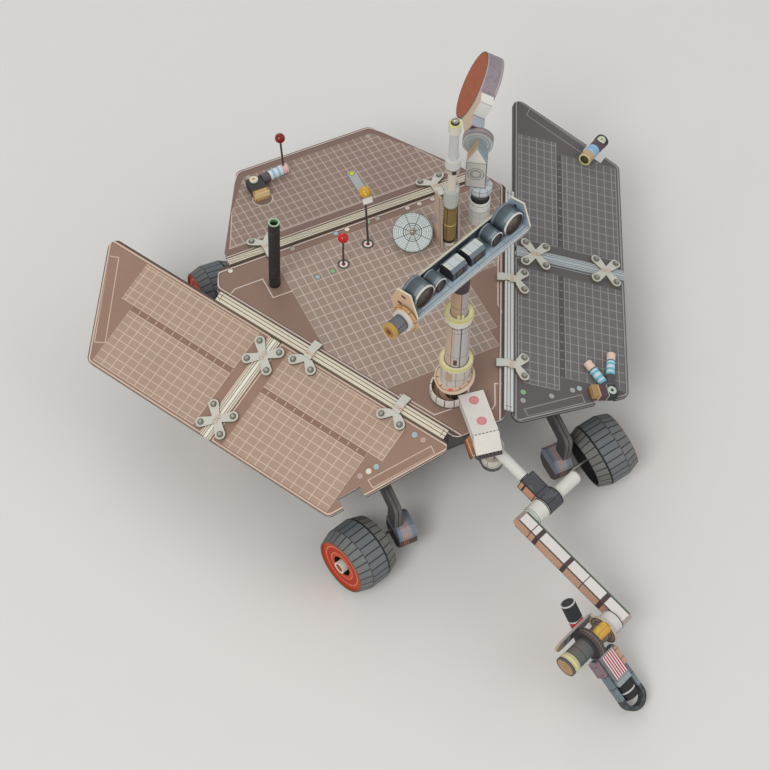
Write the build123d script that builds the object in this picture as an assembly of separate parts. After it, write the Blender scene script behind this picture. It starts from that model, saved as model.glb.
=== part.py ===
# A six-wheeled planetary rover as a hand-built card scale model: printed card panels
# and tubes, with wire axles and real dressmaker's pins for its thin masts.
# Millimetres. The rover faces -Y, its left side is +X, and +Z is up. The origin lies on
# the ground under the middle of the whole model.
from build123d import *
from math import atan2, cos, degrees, hypot, radians, sin, tan
import os

os.makedirs("parts", exist_ok=True)

# Main sizes of the model
DECK_TOP = 39.0
CARD = 1.2
THIN_CARD = 0.5
WIRE_RADIUS = 0.4
RUNNING_GAP = 0.05
SEAT_GAP = 0.02

# Plan of the solar deck: the long hinge lines open towards the rear
HINGE_ANGLE = 27.9
HINGE_FRONT_HALF = 6.4
SEAM_START = 0.7
SEAM_END = 2.9
DECK_FRONT_Y = 0.0
DECK_WIDE_Y = 72.0
DECK_REAR_Y = 79.0
DECK_REAR_HALF = 41.9
DECK_CORNER = 2.5

# Rear panel, hinged along the deck's rear edge and sloping down
REAR_PANEL_DROOP = 8.0
REAR_PANEL_END = 37.2
REAR_PANEL_WIDE_HALF = 39.6
REAR_PANEL_NARROW_HALF = 21.6
REAR_PANEL_CORNER = 2.5

# Wings, measured along the hinge line (s) and outwards from it (v)
WING_OUTER_V = 36.75
WING_FRONT_INNER_S = -0.7
WING_FRONT_OUTER_S = 16.7
WING_REAR_INNER_S = 119.5
WING_REAR_OUTER_S = 101.3
WING_SPLIT_START = 57.4
WING_SPLIT_END = 59.9
WING_CORNER = 2.4
WING_DROOP = {"right": 18.6, "left": 16.9}
NOTCH_WIDTH = 6.6
NOTCH_DEPTH = 3.3
FRONT_NOTCH_V = 29.8
REAR_NOTCH_V = 29.4

# Hinge strips and the riveted card brackets that cross them
STRIP_HEIGHT = 0.5
STRIP_LIP = 0.4
BODY_STRIP_START = 3.0
BODY_STRIP_END = 80.5
REAR_STRIP_HALF = 38.5
BRACKET_HEIGHT = 0.9
BRACKET_LOBE = 1.45
BRACKET_SPREAD = 3.0
BRACKET_REACH = 3.4
BODY_BRACKET_S = (18.0, 47.8)
SPLIT_BRACKET_V = (9.4, 30.9)
REAR_BRACKET_X = 26.6

# Body box under the deck
BODY_BOTTOM = 20.0
BODY_INSET = 3.6
BODY_FRONT_Y = 6.0
BODY_HALF = 23.4
BODY_REAR_Y = 76.0
BODY_CHAMFER = 4.0

# Wheels: a wide band between two tapered bands
WHEEL_RADIUS = 9.43
WHEEL_RIM_RADIUS = 8.15
WHEEL_BAND = 5.75
WHEEL_TAPER = 3.5
WHEEL_INNER_RECESS = 2.6
WHEEL_INNER_RECESS_RADIUS = 7.4
WHEEL_OUTER_RECESS = 0.5
WHEEL_DISC_RADIUS = 7.6
WHEEL_HOLE_RADIUS = 3.1
WHEEL_HOLE_DEPTH = 1.6
WHEEL_HUB_RADIUS = 1.75
WHEEL_HUB_PROUD = 0.5

# Each wheel's side, centre, toe and camber as the glued axles hold it, and its drive box
WHEELS = {
    # name: (side, y, x, toe, camber, box_x, box_y)
    "front_right": (-1, -5.4, 38.2, 16.7, 3.0, 24.0, -3.0),
    "front_left": (1, -4.2, 37.8, -4.3, 12.7, 24.6, -1.6),
    "middle_right": (-1, 47.0, 44.0, 0.0, 3.0, 30.0, 47.0),
    "middle_left": (1, 47.0, 44.0, 0.0, 3.0, 30.0, 47.0),
    "rear_right": (-1, 93.5, 38.2, 0.0, 3.0, 26.4, 93.5),
    "rear_left": (1, 93.5, 38.2, 0.0, 3.0, 26.4, 93.5),
}
DRIVE_BOX_LENGTH = 5.4
DRIVE_BOX_HALF = 4.2
DRIVE_BOX_RISE = 4.0
DRIVE_BOX_CHAMFER = 1.8
DRIVE_BOX_Z = 9.4

# Rocker and bogie legs, as chains of straight limbs in side view
LEG_X = BODY_HALF + 2.5
LEG_THICK = 2.4
LEG_HALF = 2.1
ROCKER_PIVOT = (44.0, 28.0)
BOGIE_PIVOT = (73.0, 19.0)
ROCKER_FRONT = ((14.0, 24.0), (-2.5, 20.0), (-2.5, 14.0))
BOGIE_FRONT = ((54.0, 19.5), (47.0, 14.0))
BOGIE_REAR = ((86.5, 19.5), (93.5, 14.0))
SHAFT_RADIUS = 2.6

# Camera mast
MAST_X = -1.3
MAST_Y = 13.0
TRAY_X = -2.4
TRAY_Y = 13.6
TRAY_RADIUS = 5.3
TRAY_WALL = 0.5
TRAY_HEIGHT = 3.0
MAST_POST_RADIUS = 2.6
MAST_PLATE_Z = 7.3
MAST_PLATE_TILT = 16.0
MAST_PLATE_RADIUS = 5.4
MAST_CAN_RADIUS = 4.1
MAST_CAN_TOP = 15.6
MAST_FLANGE_RADIUS = 4.45
MAST_FLANGE = 0.8
MAST_COLUMN_RADIUS = 3.1
MAST_COLUMN_TOP = 32.5
MAST_RING_RADIUS = 3.45
MAST_RING_TOP = 34.3
MAST_COLLAR_RADIUS = 3.75
MAST_COLLAR_TOP = 35.2
MAST_NECK_RADIUS = 2.2
MAST_NECK_TOP = 49.0

# Camera bar: a long shallow tray with a row of cameras on it
BAR_YAW = 20.5
BAR_TILT_Z = 51.2
BAR_FLOOR_Z = 54.0
BAR_FLOOR = 0.6
BAR_HALF = 19.9
BAR_BACK = 3.0
BAR_FRONT = 3.7
BAR_LIP = 1.8
BAR_BACK_WALL = 3.4
BIG_DRUM_RADIUS = 3.35
BIG_DRUM_LENGTH = 4.8
BIG_DRUM_A = 15.9
SMALL_DRUM_RADIUS = 2.2
SMALL_DRUM_LENGTH = 4.2
SMALL_DRUM_A = 10.1
CAMERA_BOX_WIDTH = 5.1
CAMERA_BOX_A = 3.3
CAMERA_BOX_DEPTH = 4.4
CAMERA_BOX_HEIGHT = 3.6
DRUM_RIM = 0.35
DRUM_RECESS = 0.5
END_PLATE = 0.5
EAR_A = 2.3
EAR_THICK = 1.0
EAR_RADIUS = 1.3
TILT_FLANGE_RADIUS = 3.7
TILT_RING_RADIUS = 2.9
TILT_CAN_RADIUS = 2.1
TILT_CAN_LENGTH = 6.6

# High-gain antenna: base, swivel, gimbal box, tilt drum, neck and dish
DISH_X = 32.6
DISH_Y = 64.8
DISH_BASE_RADIUS = 3.0
DISH_BASE_TOP = 9.0
DISH_SWIVEL_RADIUS = 2.3
DISH_SWIVEL_TOP = 12.4
DISH_PLATE_RADIUS = 3.2
DISH_PLATE_TOP = 14.4
GIMBAL_YAW = 33.0
GIMBAL_SHIFT = 1.6
GIMBAL_WIDTH = 5.7
GIMBAL_FRONT = 1.4
GIMBAL_BACK = -2.8
GIMBAL_BOX_TOP = 24.4
GIMBAL_GABLE_TOP = 30.0
TILT_H = 1.9
TILT_Z = 27.4
TILT_DRUM_RADIUS = 4.3
TILT_DRUM_THICK = 2.4
TILT_PIN_RADIUS = 0.8
DISH_RADIUS = 10.0
DISH_THICK = 5.0
DISH_PITCH = 23.6
DISH_FACE = 4.0
DISH_BACK_F = -24.0
DISH_DROP = 0.3
NECK_THICK = 3.7
NECK_POINTS = (
    # in the dish's own plane: (forwards along the tilt axis, up from it)
    (-4.9, 3.8), (-9.6, 3.4), (-10.6, 7.8), (-14.2, 7.9), (-16.6, 5.8),
    (-17.6, 0.0), (-14.5, -4.8), (-6.8, -1.6), (-4.9, -2.2),
)

# Low-gain antenna stack: height of each step's top and its radius
LOW_GAIN_X = 20.9
LOW_GAIN_Y = 60.5
LOW_GAIN_STEPS = (
    # (top above the deck, radius)
    (1.6, 1.55),
    (16.4, 1.85),
    (18.6, 1.95),
    (22.6, 2.1),
    (30.0, 1.2),
    (31.6, 2.0),
    (35.0, 2.15),
    (45.2, 1.35),
    (48.4, 1.8),
)

# Small masts on the deck
TUBE_X = -29.8
TUBE_Y = 67.4
TUBE_RADIUS = 1.6
TUBE_BORE = 1.1
TUBE_HEIGHT = 25.8
TUBE_LEAN = -2.0
PIN_HEAD_RADIUS = 1.5
DISC_X = 11.8
DISC_Y = 65.4
DISC_RADIUS = 5.8
DISC_RISE = 3.4
DISC_TILT = 28.0

# Robot arm: heading to the rover's left, shoulder, elbow and wrist
ARM_HEADING = 20.6
SHOULDER_X = 3.4
SHOULDER_Y = -1.8
SHOULDER_Z = 30.1
UPPER_ARM_LENGTH = 20.6
UPPER_ARM_PITCH = -15.6
UPPER_TUBE_RADIUS = 1.5
FOREARM_LENGTH = 33.9
FOREARM_PITCH = -14.4

ARM_BRACKET_Z = 24.0
SHOULDER_RADIUS = 3.0
SHOULDER_CAN_TOP = 27.1
SHOULDER_EAR_A = 1.7
SHOULDER_EAR_THICK = 0.8
SHOULDER_EYE_RADIUS = 1.7
ARM_PIN_RADIUS = 0.6
ELBOW_SLEEVE_START = 11.9
ELBOW_SLEEVE_WIDTH = 4.7
ELBOW_SLEEVE_HEIGHT = 4.2
ELBOW_COLLAR_RADIUS = 2.95
ELBOW_COLLAR_FROM = -2.2
ELBOW_COLLAR_TO = 2.9
ELBOW_TUBE_RADIUS = 1.85
ELBOW_TUBE_TO = 11.4
ELBOW_DRUM_RADIUS = 2.85
ELBOW_DRUM_TO = -7.2
BEAM_WIDTH = 3.6
BEAM_HEIGHT = 4.4
WRIST_DRUM_RADIUS = 3.2
WRIST_DRUM_LENGTH = 3.6

# Turret of tools beyond the wrist
FRAME_LENGTH = 5.0
FLANGE_RADIUS = 4.2
FLANGE_THICK = 0.7
PLATE_F = -4.9
PLATE_LENGTH = 13.6
TURRET_COLLAR_RADIUS = 4.5
TURRET_COLLAR_LENGTH = 2.0
BIG_CAN_RADIUS = 2.8
BIG_CAN_LENGTH = 6.2
CAN_CAP_RADIUS = 2.95
CAN_CAP_LENGTH = 2.4
GRINDER_PITCH = -38.0
GRINDER_LENGTH = 22.4
GRINDER_CASE_LENGTH = 9.0
GRINDER_HEAD_LENGTH = 4.8
BAIL_HALF = 3.9
BAIL_STRIP = 1.2
BLACK_CAN_RADIUS = 2.0
BLACK_CAN_LENGTH = 7.6

# White cover that bends down over the deck's front edge
COVER_WIDTH = 7.0
COVER_THICK = 2.4
COVER_START = (1.65, 9.3)
COVER_YAW = 9.7

# Lying camera in the left wing's rear notch: its ends, outwards and aft on the wing
REAR_CAN_RADIUS = 1.9
REAR_CAN_START = (24.7, 98.6)
REAR_CAN_END = (30.7, 108.4)

# Middle of the whole model in plan, which becomes the origin
ORIGIN_X = 0.24
ORIGIN_Y = 19.91

parts = {}


def keep(name, shape):
    parts[name] = shape


def disc(radius, bottom, top, x=0.0, y=0.0):
    """Upright round solid between two heights."""
    return Pos(x, y, bottom) * Cylinder(radius, top - bottom, align=(Align.CENTER, Align.CENTER, Align.MIN))


def bar(start, end, radius):
    """Round bar from one point to another."""
    line = Vector(*end) - Vector(*start)
    return Plane(origin=start, z_dir=line) * Cylinder(radius, line.length, align=(Align.CENTER, Align.CENTER, Align.MIN))


def slab(points, thickness, corners=0.0, sharp=()):
    """Card panel from an outline; its top face lies in the XY plane."""
    face = make_face(Polyline(*points, close=True))
    if corners:
        round_these = [v for v in face.vertices() if not any(hypot(v.X - p[0], v.Y - p[1]) < 0.01 for p in sharp)]
        face = fillet(round_these, corners)
    return extrude(face, -thickness)


# Where each wing's plane lies: x runs outwards from the hinge and y runs aft along it
def wing_plane(side_name):
    sign = 1 if side_name == "left" else -1
    along = Vector(sign * sin(radians(HINGE_ANGLE)), cos(radians(HINGE_ANGLE)), 0)
    droop = radians(WING_DROOP[side_name])
    out_x = sign * cos(radians(HINGE_ANGLE)) * cos(droop)
    out = Vector(out_x, -sin(radians(HINGE_ANGLE)) * cos(droop), -sin(droop))
    start = (sign * HINGE_FRONT_HALF, DECK_FRONT_Y, DECK_TOP)
    if sign > 0:
        return Plane(origin=start, x_dir=out, z_dir=out.cross(along)), 1
    return Plane(origin=start, x_dir=-out, z_dir=along.cross(out)), -1


def wing_points(pairs, flip):
    return [(flip * v, s) for s, v in pairs]


def edge_s(v, inner_s, outer_s):
    share = (v - SEAM_END) / (WING_OUTER_V - SEAM_END)
    return inner_s + share * (outer_s - inner_s)


def notch_corners(v_middle, inner_s, outer_s, aft):
    """Four corners of the square notch in a slanted edge, from low v to high v."""
    slope = (outer_s - inner_s) / (WING_OUTER_V - SEAM_END)
    length = hypot(slope, 1.0)
    half = NOTCH_WIDTH / 2 / length
    depth_s = -aft * NOTCH_DEPTH / length
    depth_v = aft * NOTCH_DEPTH * slope / length
    low = (edge_s(v_middle - half, inner_s, outer_s), v_middle - half)
    high = (edge_s(v_middle + half, inner_s, outer_s), v_middle + half)
    low_in = (low[0] + depth_s, low[1] + depth_v)
    high_in = (high[0] + depth_s, high[1] + depth_v)
    return [low, low_in, high_in, high]


# Deck, rear panel and the four wing panels
def build_panels():
    offset = SEAM_START / cos(radians(HINGE_ANGLE))
    front_half = HINGE_FRONT_HALF + offset
    wide_half = front_half + DECK_WIDE_Y * tan(radians(HINGE_ANGLE))
    outline = [
        (-front_half, DECK_FRONT_Y), (front_half, DECK_FRONT_Y), (wide_half, DECK_WIDE_Y),
        (DECK_REAR_HALF, DECK_REAR_Y), (-DECK_REAR_HALF, DECK_REAR_Y), (-wide_half, DECK_WIDE_Y),
    ]
    keep("central_deck", Pos(0, 0, DECK_TOP) * slab(outline, CARD, DECK_CORNER))
    rear = [
        (-REAR_PANEL_WIDE_HALF, SEAM_END), (REAR_PANEL_WIDE_HALF, SEAM_END),
        (REAR_PANEL_NARROW_HALF, REAR_PANEL_END), (-REAR_PANEL_NARROW_HALF, REAR_PANEL_END),
    ]
    keep("rear_panel", rear_plane() * slab(rear, CARD, REAR_PANEL_CORNER))
    for side in ("right", "left"):
        plane, flip = wing_plane(side)
        front = (WING_FRONT_INNER_S, WING_FRONT_OUTER_S)
        aft = (WING_REAR_INNER_S, WING_REAR_OUTER_S)
        front_notch = notch_corners(FRONT_NOTCH_V, *front, -1)
        primary = [(WING_FRONT_INNER_S, SEAM_END)] + front_notch + [
            (WING_FRONT_OUTER_S, WING_OUTER_V), (WING_SPLIT_START, WING_OUTER_V), (WING_SPLIT_START, SEAM_END)]
        rear_notch = notch_corners(REAR_NOTCH_V, *aft, 1) if side == "left" else []
        secondary = [(WING_REAR_INNER_S, SEAM_END)] + rear_notch + [
            (WING_REAR_OUTER_S, WING_OUTER_V), (WING_SPLIT_END, WING_OUTER_V), (WING_SPLIT_END, SEAM_END)]
        sharp_front = wing_points(front_notch + primary[-2:], flip)
        sharp_rear = wing_points(rear_notch + secondary[-2:], flip)
        primary_slab = slab(wing_points(primary, flip), CARD, WING_CORNER, sharp_front)
        secondary_slab = slab(wing_points(secondary, flip), CARD, WING_CORNER, sharp_rear)
        keep("primary_panel_" + side, plane * primary_slab)
        keep("secondary_panel_" + side, plane * secondary_slab)


def rear_plane():
    droop = radians(REAR_PANEL_DROOP)
    start = (0, DECK_REAR_Y - SEAM_START, DECK_TOP)
    return Plane(origin=start, x_dir=(1, 0, 0), z_dir=(0, sin(droop), cos(droop)))


def folded_strip(length, droop):
    """Hinge strip folded over a seam: x across it, drooping past the seam, y along it."""
    drop = tan(radians(droop))
    inner = SEAM_START - STRIP_LIP
    outer = SEAM_END + STRIP_LIP
    points = [
        (inner, SEAT_GAP), (SEAM_START, SEAT_GAP), (SEAM_END, SEAT_GAP - SEAM_END * drop),
        (outer, SEAT_GAP - outer * drop), (outer, STRIP_HEIGHT - outer * drop),
        (SEAM_END - 0.2, STRIP_HEIGHT - SEAM_END * drop), (SEAM_START + 0.2, STRIP_HEIGHT), (inner, STRIP_HEIGHT),
    ]
    section = Plane.XZ * make_face(Polyline(*points, close=True))
    return extrude(section, -length)


def body_hinge_plane(sign):
    """Flat plane on the deck with x outwards from the hinge line and y aft along it."""
    start = (sign * HINGE_FRONT_HALF, DECK_FRONT_Y, DECK_TOP)
    out = Vector(sign * cos(radians(HINGE_ANGLE)), -sin(radians(HINGE_ANGLE)), 0)
    return Plane(origin=start, x_dir=out, z_dir=(0, 0, 1))


# Hinge strips: two along the wings' roots, one at the rear and one across each wing
def build_strips():
    left = body_hinge_plane(1)
    strips = []
    for side, sign in (("left", 1), ("right", -1)):
        strip = folded_strip(BODY_STRIP_END - BODY_STRIP_START, WING_DROOP[side])
        placed = left * Pos(0, BODY_STRIP_START, 0) * strip
        strips.append(placed if sign > 0 else mirror(placed, about=Plane.YZ))
        plane, flip = wing_plane(side)
        width = WING_SPLIT_END - WING_SPLIT_START + 2 * STRIP_LIP
        length = WING_OUTER_V - SEAM_END - 2 * STRIP_LIP - 0.3
        middle_v = (WING_OUTER_V + SEAM_END) / 2 + STRIP_LIP
        flat = Box(length, width, STRIP_HEIGHT - SEAT_GAP, align=(Align.CENTER, Align.CENTER, Align.MIN))
        middle_s = (WING_SPLIT_START + WING_SPLIT_END) / 2
        strips.append(plane * Pos(flip * middle_v, middle_s, SEAT_GAP) * flat)
    rear = folded_strip(2 * REAR_STRIP_HALF, REAR_PANEL_DROOP)
    turned = Pos(REAR_STRIP_HALF, DECK_REAR_Y - SEAM_START, DECK_TOP) * Rot(0, 0, 90) * rear
    strips.append(turned)
    keep("hinge_strips", Compound(children=strips))


def lobes(points, reach_from):
    """Bracket arms: a slot from the middle out to each riveted lobe."""
    shape = None
    for point in points:
        arm = make_hull(
            (Pos(*reach_from) * Circle(BRACKET_LOBE * 0.62)).edges() + (Pos(*point) * Circle(BRACKET_LOBE)).edges())
        shape = arm if shape is None else shape + arm
    return shape


def x_bracket():
    """Four riveted lobes astride a flat strip; local x runs across the strip."""
    ends = [(i * BRACKET_REACH, j * BRACKET_SPREAD) for i in (-1, 1) for j in (-1, 1)]
    solid = extrude(lobes(ends, (0, 0)), BRACKET_HEIGHT)
    tunnel = WING_SPLIT_END - WING_SPLIT_START + 2 * STRIP_LIP + 0.1
    groove = Box(tunnel, 4 * BRACKET_SPREAD, 2 * (STRIP_HEIGHT + SEAT_GAP))
    return Pos(0, 0, SEAT_GAP) * (solid - groove)


def v_bracket(droop):
    """A deck tab, a bridge over the folded strip and two riveted lobes on the panel beyond it."""
    drop = tan(radians(droop))
    past = SEAM_END + STRIP_LIP
    tab = Pos(-0.75, 0, SEAT_GAP) * Box(1.9, 2.6, BRACKET_HEIGHT, align=(Align.CENTER, Align.CENTER, Align.MIN))
    low = STRIP_HEIGHT + SEAT_GAP
    high = BRACKET_HEIGHT + SEAT_GAP
    bridge = [
        (-0.2, low), (SEAM_START + 0.2, low), (past + 0.3, low - past * drop),
        (past + 0.3, high - past * drop), (SEAM_START + 0.4, high), (-0.2, high),
    ]
    bridge_solid = extrude(Plane.XZ * make_face(Polyline(*bridge, close=True)), 1.2, both=True)
    ends = [(past + 2.6, j * BRACKET_SPREAD) for j in (-1, 1)]
    arms = extrude(lobes(ends, (past + 0.2, 0)), BRACKET_HEIGHT)
    keep_side = Pos(past / cos(radians(droop)) + 0.05 + 10, 0, 0) * Box(20, 20, 20)
    wing = Rot(0, droop, 0) * Pos(0, 0, SEAT_GAP) * (arms & keep_side)
    return tab + bridge_solid + wing


# Riveted brackets: crosses on the wing seams, forked ones along the deck's edges
def build_brackets():
    left = body_hinge_plane(1)
    brackets = []
    for side, sign in (("left", 1), ("right", -1)):
        plane, flip = wing_plane(side)
        middle_s = (WING_SPLIT_START + WING_SPLIT_END) / 2
        for v in SPLIT_BRACKET_V:
            brackets.append(plane * Pos(flip * v, middle_s, 0) * Rot(0, 0, 90) * x_bracket())
        for s in BODY_BRACKET_S:
            placed = left * Pos(0, s, 0) * v_bracket(WING_DROOP[side])
            brackets.append(placed if sign > 0 else mirror(placed, about=Plane.YZ))
    for x in (-REAR_BRACKET_X, REAR_BRACKET_X):
        turned = Rot(0, 0, 90) * v_bracket(REAR_PANEL_DROOP)
        brackets.append(Pos(x, DECK_REAR_Y - SEAM_START, DECK_TOP) * turned)
    keep("hinge_brackets", Compound(children=brackets))


# Body box: narrow in front like the deck, with chamfered lower edges
def build_body():
    slope = tan(radians(HINGE_ANGLE))
    front_half = HINGE_FRONT_HALF + BODY_FRONT_Y * slope - BODY_INSET
    wide_y = BODY_FRONT_Y + (BODY_HALF - front_half) / slope
    outline = [
        (-front_half, BODY_FRONT_Y), (front_half, BODY_FRONT_Y), (BODY_HALF, wide_y),
        (BODY_HALF, BODY_REAR_Y), (-BODY_HALF, BODY_REAR_Y), (-BODY_HALF, wide_y),
    ]
    height = DECK_TOP - CARD - BODY_BOTTOM
    box = Pos(0, 0, BODY_BOTTOM) * extrude(make_face(Polyline(*outline, close=True)), height)
    bottom = box.faces().sort_by(Axis.Z)[0]
    ends = bottom.edges().filter_by(Axis.X)
    keep("body_box", chamfer(ends, BODY_CHAMFER))


def limbs(points, x, thick):
    """Chain of flat rounded limbs in side view, one plate thick."""
    shape = None
    for start, end in zip(points, points[1:]):
        limb = make_hull(
            (Pos(*start) * Circle(LEG_HALF)).edges() + (Pos(*end) * Circle(LEG_HALF)).edges())
        shape = limb if shape is None else shape + limb
    return Plane(origin=(x - thick / 2, 0, 0), x_dir=(0, 1, 0), z_dir=(1, 0, 0)) * extrude(shape, thick)


# Rockers and bogies: plates that stand on the drive boxes
def build_legs():
    box_top = DRIVE_BOX_Z + DRIVE_BOX_RISE
    below = Pos(0, BODY_REAR_Y / 2, box_top - 10) * Box(200, 300, 20)
    rockers = []
    bogies = []
    for sign in (-1, 1):
        rocker_points = list(reversed(ROCKER_FRONT)) + [ROCKER_PIVOT, BOGIE_PIVOT]
        rocker = limbs(rocker_points, sign * LEG_X, LEG_THICK)
        inner = LEG_X - LEG_THICK / 2
        shaft = bar((sign * BODY_HALF, *ROCKER_PIVOT), (sign * inner, *ROCKER_PIVOT), SHAFT_RADIUS)
        rockers.append(rocker + shaft - below)
        bogie_points = list(reversed(BOGIE_FRONT)) + [BOGIE_PIVOT] + list(BOGIE_REAR)
        bogie = limbs(bogie_points, sign * (LEG_X + LEG_THICK), LEG_THICK)
        bogies.append(bogie - below)
    keep("rockers", Compound(children=rockers))
    keep("bogies", Compound(children=bogies))


def wheel_axis(name):
    """Centre and outward axis of a wheel, standing on the ground on its wide band."""
    side, y, x, toe, camber, box_x, box_y = WHEELS[name]
    lean = radians(camber)
    out = Vector(side * cos(radians(toe)) * cos(lean), -sin(radians(toe)) * cos(lean), sin(lean))
    height = WHEEL_RADIUS * cos(lean) + WHEEL_BAND / 2 * sin(lean)
    return Vector(side * x, y, height), out


def wheel_shape():
    """Barrel wheel with its axis along Z and its outer side upwards."""
    half = WHEEL_BAND / 2
    top = half + WHEEL_TAPER
    bore = WIRE_RADIUS + RUNNING_GAP
    inside = -top + WHEEL_INNER_RECESS
    outside = top - WHEEL_OUTER_RECESS
    hole = outside - WHEEL_HOLE_DEPTH
    points = [
        (bore, inside), (WHEEL_INNER_RECESS_RADIUS, inside), (WHEEL_INNER_RECESS_RADIUS, -top),
        (WHEEL_RIM_RADIUS, -top), (WHEEL_RADIUS, -half), (WHEEL_RADIUS, half), (WHEEL_RIM_RADIUS, top),
        (WHEEL_DISC_RADIUS, top), (WHEEL_DISC_RADIUS, outside), (WHEEL_HOLE_RADIUS, outside),
        (WHEEL_HOLE_RADIUS, hole), (WHEEL_HUB_RADIUS, hole), (WHEEL_HUB_RADIUS, top + WHEEL_HUB_PROUD),
        (WHEEL_HUB_RADIUS - 0.45, top + WHEEL_HUB_PROUD), (WHEEL_HUB_RADIUS - 0.45, top - 0.4), (0, top - 0.4),
        (0, hole), (bore, hole),
    ]
    return revolve(Plane.XZ * make_face(Polyline(*points, close=True)), Axis.Z)


# Wheels, their drive boxes and the wire axles between them
def build_wheels():
    wheel = wheel_shape()
    boxes = []
    wires = []
    length = WHEEL_BAND / 2 + WHEEL_TAPER - WHEEL_OUTER_RECESS - WHEEL_HOLE_DEPTH
    for name, (side, y, x, toe, camber, box_x, box_y) in WHEELS.items():
        centre, out = wheel_axis(name)
        keep("wheel_" + name, Plane(origin=centre, z_dir=out) * wheel)
        block = Box(DRIVE_BOX_LENGTH, 2 * DRIVE_BOX_HALF, 2 * DRIVE_BOX_RISE)
        block = chamfer(block.edges().filter_by(Axis.X), DRIVE_BOX_CHAMFER)
        block = Pos(side * box_x, box_y, DRIVE_BOX_Z) * block
        boxes.append(block)
        reach = x - box_x - DRIVE_BOX_LENGTH / 2 + 0.9
        wire = bar(centre - out * reach, centre + out * (length - 0.3), WIRE_RADIUS)
        wires.append(wire - block)
    keep("drive_boxes", Compound(children=boxes))
    keep("axle_wires", Compound(children=wires))


# Mast foot: open ring, post, tilted plate and a round can under the turning column
def build_mast():
    z = DECK_TOP
    ring = disc(TRAY_RADIUS, z, z + TRAY_HEIGHT, TRAY_X, TRAY_Y)
    ring -= disc(TRAY_RADIUS - TRAY_WALL, z + THIN_CARD, z + TRAY_HEIGHT + 1, TRAY_X, TRAY_Y)
    ring -= cover_plane() * Pos(5.8, 0, 5) * Box(12, COVER_WIDTH + 0.2, 10)
    plate_plane = Plane(origin=(MAST_X, MAST_Y, z + MAST_PLATE_Z)) * Plane.XY.rotated((0, -MAST_PLATE_TILT, 0))
    below = plate_plane * Pos(0, 0, -10) * Box(40, 40, 20)
    above = plate_plane * Pos(0, 0, CARD + 10) * Box(40, 40, 20)
    plate = plate_plane * Cylinder(MAST_PLATE_RADIUS, CARD, align=(Align.CENTER, Align.CENTER, Align.MIN))
    keep("mast_plate", plate)
    post = disc(MAST_POST_RADIUS, z, z + MAST_CAN_TOP, MAST_X, MAST_Y) & below
    keep("mast_foot", ring + post)
    can = disc(MAST_CAN_RADIUS, z + 2, z + MAST_CAN_TOP, MAST_X, MAST_Y) & above
    can += disc(MAST_FLANGE_RADIUS, z + MAST_CAN_TOP - MAST_FLANGE, z + MAST_CAN_TOP, MAST_X, MAST_Y)
    can += disc(1.2, z + MAST_CAN_TOP, z + MAST_CAN_TOP + 2.0, MAST_X, MAST_Y)
    keep("mast_can", can)
    start = z + MAST_CAN_TOP + RUNNING_GAP
    column = disc(MAST_COLUMN_RADIUS, start, z + MAST_COLUMN_TOP, MAST_X, MAST_Y)
    column -= disc(1.2 + RUNNING_GAP, start - 1, start + 2.2, MAST_X, MAST_Y)
    collar = disc(MAST_RING_RADIUS, z + MAST_COLUMN_TOP, z + MAST_RING_TOP, MAST_X, MAST_Y)
    collar += disc(MAST_COLLAR_RADIUS, z + MAST_RING_TOP, z + MAST_COLLAR_TOP, MAST_X, MAST_Y)
    keep("mast_column", column + collar)
    turn = bar_plane()
    neck = disc(MAST_NECK_RADIUS, z + MAST_COLLAR_TOP, z + MAST_NECK_TOP, MAST_X, MAST_Y)
    half = EAR_A - 0.1
    boss = Pos(0, 0, BAR_TILT_Z) * Rot(0, 90, 0) * Cylinder(EAR_RADIUS, 2 * half)
    boss += Pos(0, 0, (BAR_TILT_Z + MAST_NECK_TOP) / 2) * Box(2 * half - 1.4, 2 * EAR_RADIUS, BAR_TILT_Z - MAST_NECK_TOP)
    boss -= Pos(0, 0, BAR_TILT_Z) * Rot(0, 90, 0) * Cylinder(WIRE_RADIUS + RUNNING_GAP, 8)
    keep("mast_neck", neck + turn * boss)


def bar_plane():
    """Over the mast: x along the bar to the rover's left, y aft, z up from the deck."""
    yaw = radians(BAR_YAW)
    return Plane(origin=(MAST_X, MAST_Y, DECK_TOP), x_dir=(cos(yaw), sin(yaw), 0), z_dir=(0, 0, 1))


def camera_drum(radius, length):
    """Drum camera looking forwards (-Y) with a thin rim round its sunken lens."""
    drum = Rot(90, 0, 0) * Cylinder(radius, length)
    lens = Pos(0, -length / 2, 0) * Rot(90, 0, 0) * Cylinder(radius - DRUM_RIM, 2 * DRUM_RECESS)
    return drum - lens


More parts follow.
